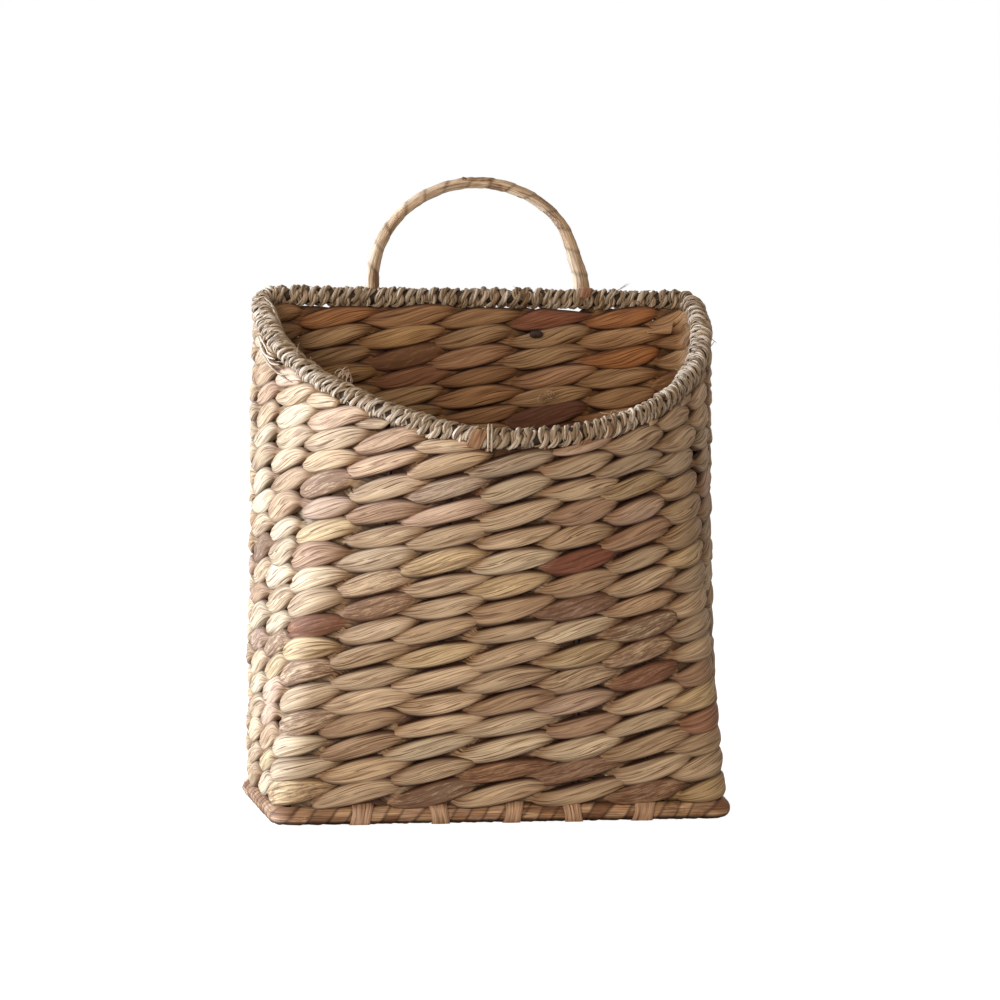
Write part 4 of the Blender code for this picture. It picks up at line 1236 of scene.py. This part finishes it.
# %% Cut strand, frayed curl and dark stub
CUT_START = np.array([0.1155, 0.0850, 0.3141])
CUT_END = np.array([0.1325, 0.0836, 0.3175])
CURL_PLACE = np.array((0.0445, 0.0815, 0.2675))
CURL_FIBRES = 5
STUB_PLACE = np.array((0.0385, 0.0835, 0.3120))
STUB_RUN = np.array([1.0, 0.0, 0.04])
share = np.linspace(0, 1, 20)
around = circle(16)
points = CUT_START + (CUT_END - CUT_START) * share[:, None]
tall = (0.8 + 3.6 * share**0.8) * MM
rings = np.repeat(points[:, None], len(around), axis=1)
rings[..., 1] += 1.2 * MM * np.cos(around)
rings[..., 2] += tall[:, None] * pressed(np.sin(around), 0.7)
rings[..., 0] += 0.25 * tall[:, None] * np.sin(around)
tint = plain_tint("#C9A57E", 0.2, len(share), len(around))
cut = skin("cut_strand_end", rings, 17 * MM * share, 20 * MM, stalk, False, tint)
curls = []
share = np.linspace(0, 1, 14)
for number in range(CURL_FIBRES):
    swirl = 2.2 * np.pi * share + number
    curl_x = np.cos(swirl) * (4.4 - 2 * share)
    curl_z = np.sin(swirl) * 3.4 * (1 - 0.5 * share)
    curl = np.stack([curl_x, np.full(len(share), -2.4), curl_z], 1)
    curl = curl + [number - 2, -0.4 * number, 0.9 * number]
    curls.append(fibre("frayed_curl", CURL_PLACE + curl * MM, 0.45 * MM, "#F0D2AC", strip))
stub_points = STUB_PLACE + np.linspace(-4.6, 4.6, 12)[:, None] * STUB_RUN * MM
stub = fibre("dark_stub", stub_points, 2.6 * MM, "#2E2722", strip, 8)
show("cut_strand_end", [cut, stub, *curls], [])
print("inside: a cut strand end, a dark stub and", len(curls), "curled fibres")

# %% [markdown]
# ## The handle's knot
# Near its top the wrapped strip has a small dark knot with an upright end, and a frayed edge further left.
# Each is a short straight tube, placed by its swing along the arch.

# %% Knot and frayed edge
def on_arch(degrees, forwards, upwards):
    """A point at a swing along the arch, moved towards the viewer and up by lengths in millimetres."""
    swing = np.radians(degrees)
    arch_height = SHOULDER + HANDLE_RISE * np.sin(swing)
    return np.array([-HALF_SPAN * np.cos(swing), HANDLE_Y - forwards * MM, arch_height + upwards * MM])


def nub(middle, reach, radius, code, sides=5):
    """A short straight tube from middle - reach to middle + reach, in millimetres from the middle."""
    steps = np.linspace(-1, 1, 9)[:, None]
    return fibre("handle_knot", middle + steps * np.array(reach) * MM, radius * MM, code, strip, sides)


knot = on_arch(82, 2.2, 3.0)
fray = on_arch(113, 1.5, -3.8)
nubs = [
    nub(knot, (2.0, -0.2, -0.4), 1.1, "#8A6848", 7),
    nub(knot + np.array([1.5, -0.4, -1.8]) * MM, (0.8, 0.0, 1.8), 0.6, "#A98660"),
    nub(fray, (2.2, 0.0, -0.9), 0.6, "#A58360"),
]
show("handle_knot", nubs, [])
print("handle knot:", len(nubs), "ends of strip")

# %% [markdown]
# ## Camera
# The camera was solved from the photograph: 1.81 m away, a little above the middle, and 8 degrees round to
# the basket's left, with a long lens and a slight roll.

# %% Camera at the photograph's view
def aim(azimuth, elevation, roll, distance, target, lens):
    """A camera at target + distance x (sin a cos e, -cos a cos e, sin e), turned by the roll."""
    a, e, r = np.radians([azimuth, elevation, roll])
    back = np.array([np.sin(a) * np.cos(e), -np.cos(a) * np.cos(e), np.sin(e)])
    right = np.array([np.cos(a), np.sin(a), 0.0])
    up = np.cross(back, right)
    turned_right = right * np.cos(r) + up * np.sin(r)
    turned_up = up * np.cos(r) - right * np.sin(r)
    data = bpy.data.cameras.new("photo_view")
    data.lens = lens
    data.sensor_width = 36.0
    data.clip_start = 0.05
    camera = bpy.data.objects.new("photo_view", data)
    place = np.eye(4)
    place[:3, 0], place[:3, 1], place[:3, 2] = turned_right, turned_up, back
    place[:3, 3] = np.array(target) + distance * back
    camera.matrix_world = Matrix(place.tolist())
    bpy.context.scene.collection.objects.link(camera)
    return camera


CAMERA_TARGET = (0.00625, 0.02595, 0.20205)
camera = aim(azimuth=-8.066, elevation=2.504, roll=0.37, distance=1.811, target=CAMERA_TARGET, lens=99.14)
bpy.context.scene.camera = camera
print("camera at", [round(v, 3) for v in camera.matrix_world.translation])

# %% [markdown]
# ## Light and floor
# The photograph is brightest on the basket's left side, and its front and right fall into warm shade. So one
# large cool lamp stands at the left and a little behind, like a window; a weaker warm lamp at the front left
# and a pale warm world fill the shadows. Camera rays see the world plain white. The floor is white paper,
# which glows a little towards the camera, as the bright ground of a product photograph does.

# %% Lamps, world and floor
def lamp(name, place, size, power, colour, target=(0.0, 0.0, 0.2)):
    """A square area lamp at a place, pointed at a target."""
    data = bpy.data.lights.new(name, "AREA")
    data.size = size
    data.energy = power
    data.color = linear(colour)
    item = bpy.data.objects.new(name, data)
    back = unit(np.array(place) - np.array(target))
    right = unit(np.cross([0.0, 0.0, 1.0], back))
    turned = np.eye(4)
    turned[:3, 0], turned[:3, 1], turned[:3, 2] = right, np.cross(back, right), back
    turned[:3, 3] = place
    item.matrix_world = Matrix(turned.tolist())
    bpy.context.scene.collection.objects.link(item)
    return item


lamp("window_light", place=(-2.3, 0.3, 0.85), size=1.1, power=99.0, colour="#DCEAFF")
lamp("fill_light", place=(-1.1, -1.9, 0.6), size=1.0, power=16.8, colour="#FFE9D2")
PLAIN_WHITE = (1.0, 1.0, 1.0, 1.0)

world = bpy.data.worlds.new("studio")
bpy.context.scene.world = world
world.use_nodes = True
tree = world.node_tree
tree.nodes.clear()
ray = add_node(tree, "ShaderNodeLightPath").outputs
seen = {0: ray["Is Camera Ray"], 1: ray["Is Glossy Ray"]}
seen = add_node(tree, "ShaderNodeMath", seen, operation="MAXIMUM")
seen = {0: seen.outputs[0], 1: ray["Is Transmission Ray"]}
seen = add_node(tree, "ShaderNodeMath", seen, operation="MAXIMUM")
ambient = add_node(tree, "ShaderNodeBackground", {"Color": (*linear("#FFDCBE"), 1.0), "Strength": 0.225})
white = add_node(tree, "ShaderNodeBackground", {"Color": PLAIN_WHITE, "Strength": 1.0})
both = add_node(tree, "ShaderNodeMixShader", {0: seen.outputs[0], 1: ambient.outputs[0], 2: white.outputs[0]})
add_node(tree, "ShaderNodeOutputWorld", {"Surface": both.outputs[0]})

# %% Floor
FLOOR_SIDE = 8
FLOOR_BACK = 12
floor_corners = [(-FLOOR_SIDE, -FLOOR_SIDE, 0), (FLOOR_SIDE, -FLOOR_SIDE, 0)]
floor_corners += [(FLOOR_SIDE, FLOOR_BACK, 0), (-FLOOR_SIDE, FLOOR_BACK, 0)]
floor_mesh = bpy.data.meshes.new("floor")
floor_mesh.from_pydata(floor_corners, [], [(0, 1, 2, 3)])
floor = bpy.data.objects.new("floor", floor_mesh)
bpy.context.scene.collection.objects.link(floor)
# White paper: an even, matt pale ground that the eye reads as empty.
paper = bpy.data.materials.new("white_paper")
paper.use_nodes = True
tree = paper.node_tree
shader = tree.nodes["Principled BSDF"]
shader.inputs["Base Color"].default_value = (0.82, 0.82, 0.82, 1.0)
shader.inputs["Roughness"].default_value = 0.9
ray = add_node(tree, "ShaderNodeLightPath").outputs
glow = add_node(tree, "ShaderNodeEmission", {"Color": PLAIN_WHITE, "Strength": 1.9})
share = add_node(tree, "ShaderNodeMath", {0: ray["Is Camera Ray"], 1: 0.5}, operation="MULTIPLY")
blend = add_node(tree, "ShaderNodeMixShader", {0: share.outputs[0], 1: shader.outputs[0], 2: glow.outputs[0]})
tree.links.new(blend.outputs[0], tree.nodes["Material Output"].inputs["Surface"])
floor_mesh.materials.append(paper)
bpy.context.scene.view_settings.view_transform = "Standard"

# %% [markdown]
# ## Finish
# The size of the measured frame is printed.

# %% Size of the frame
print("frame box ", [round(b - a, 4) for a, b in zip(cad_low, cad_high)])
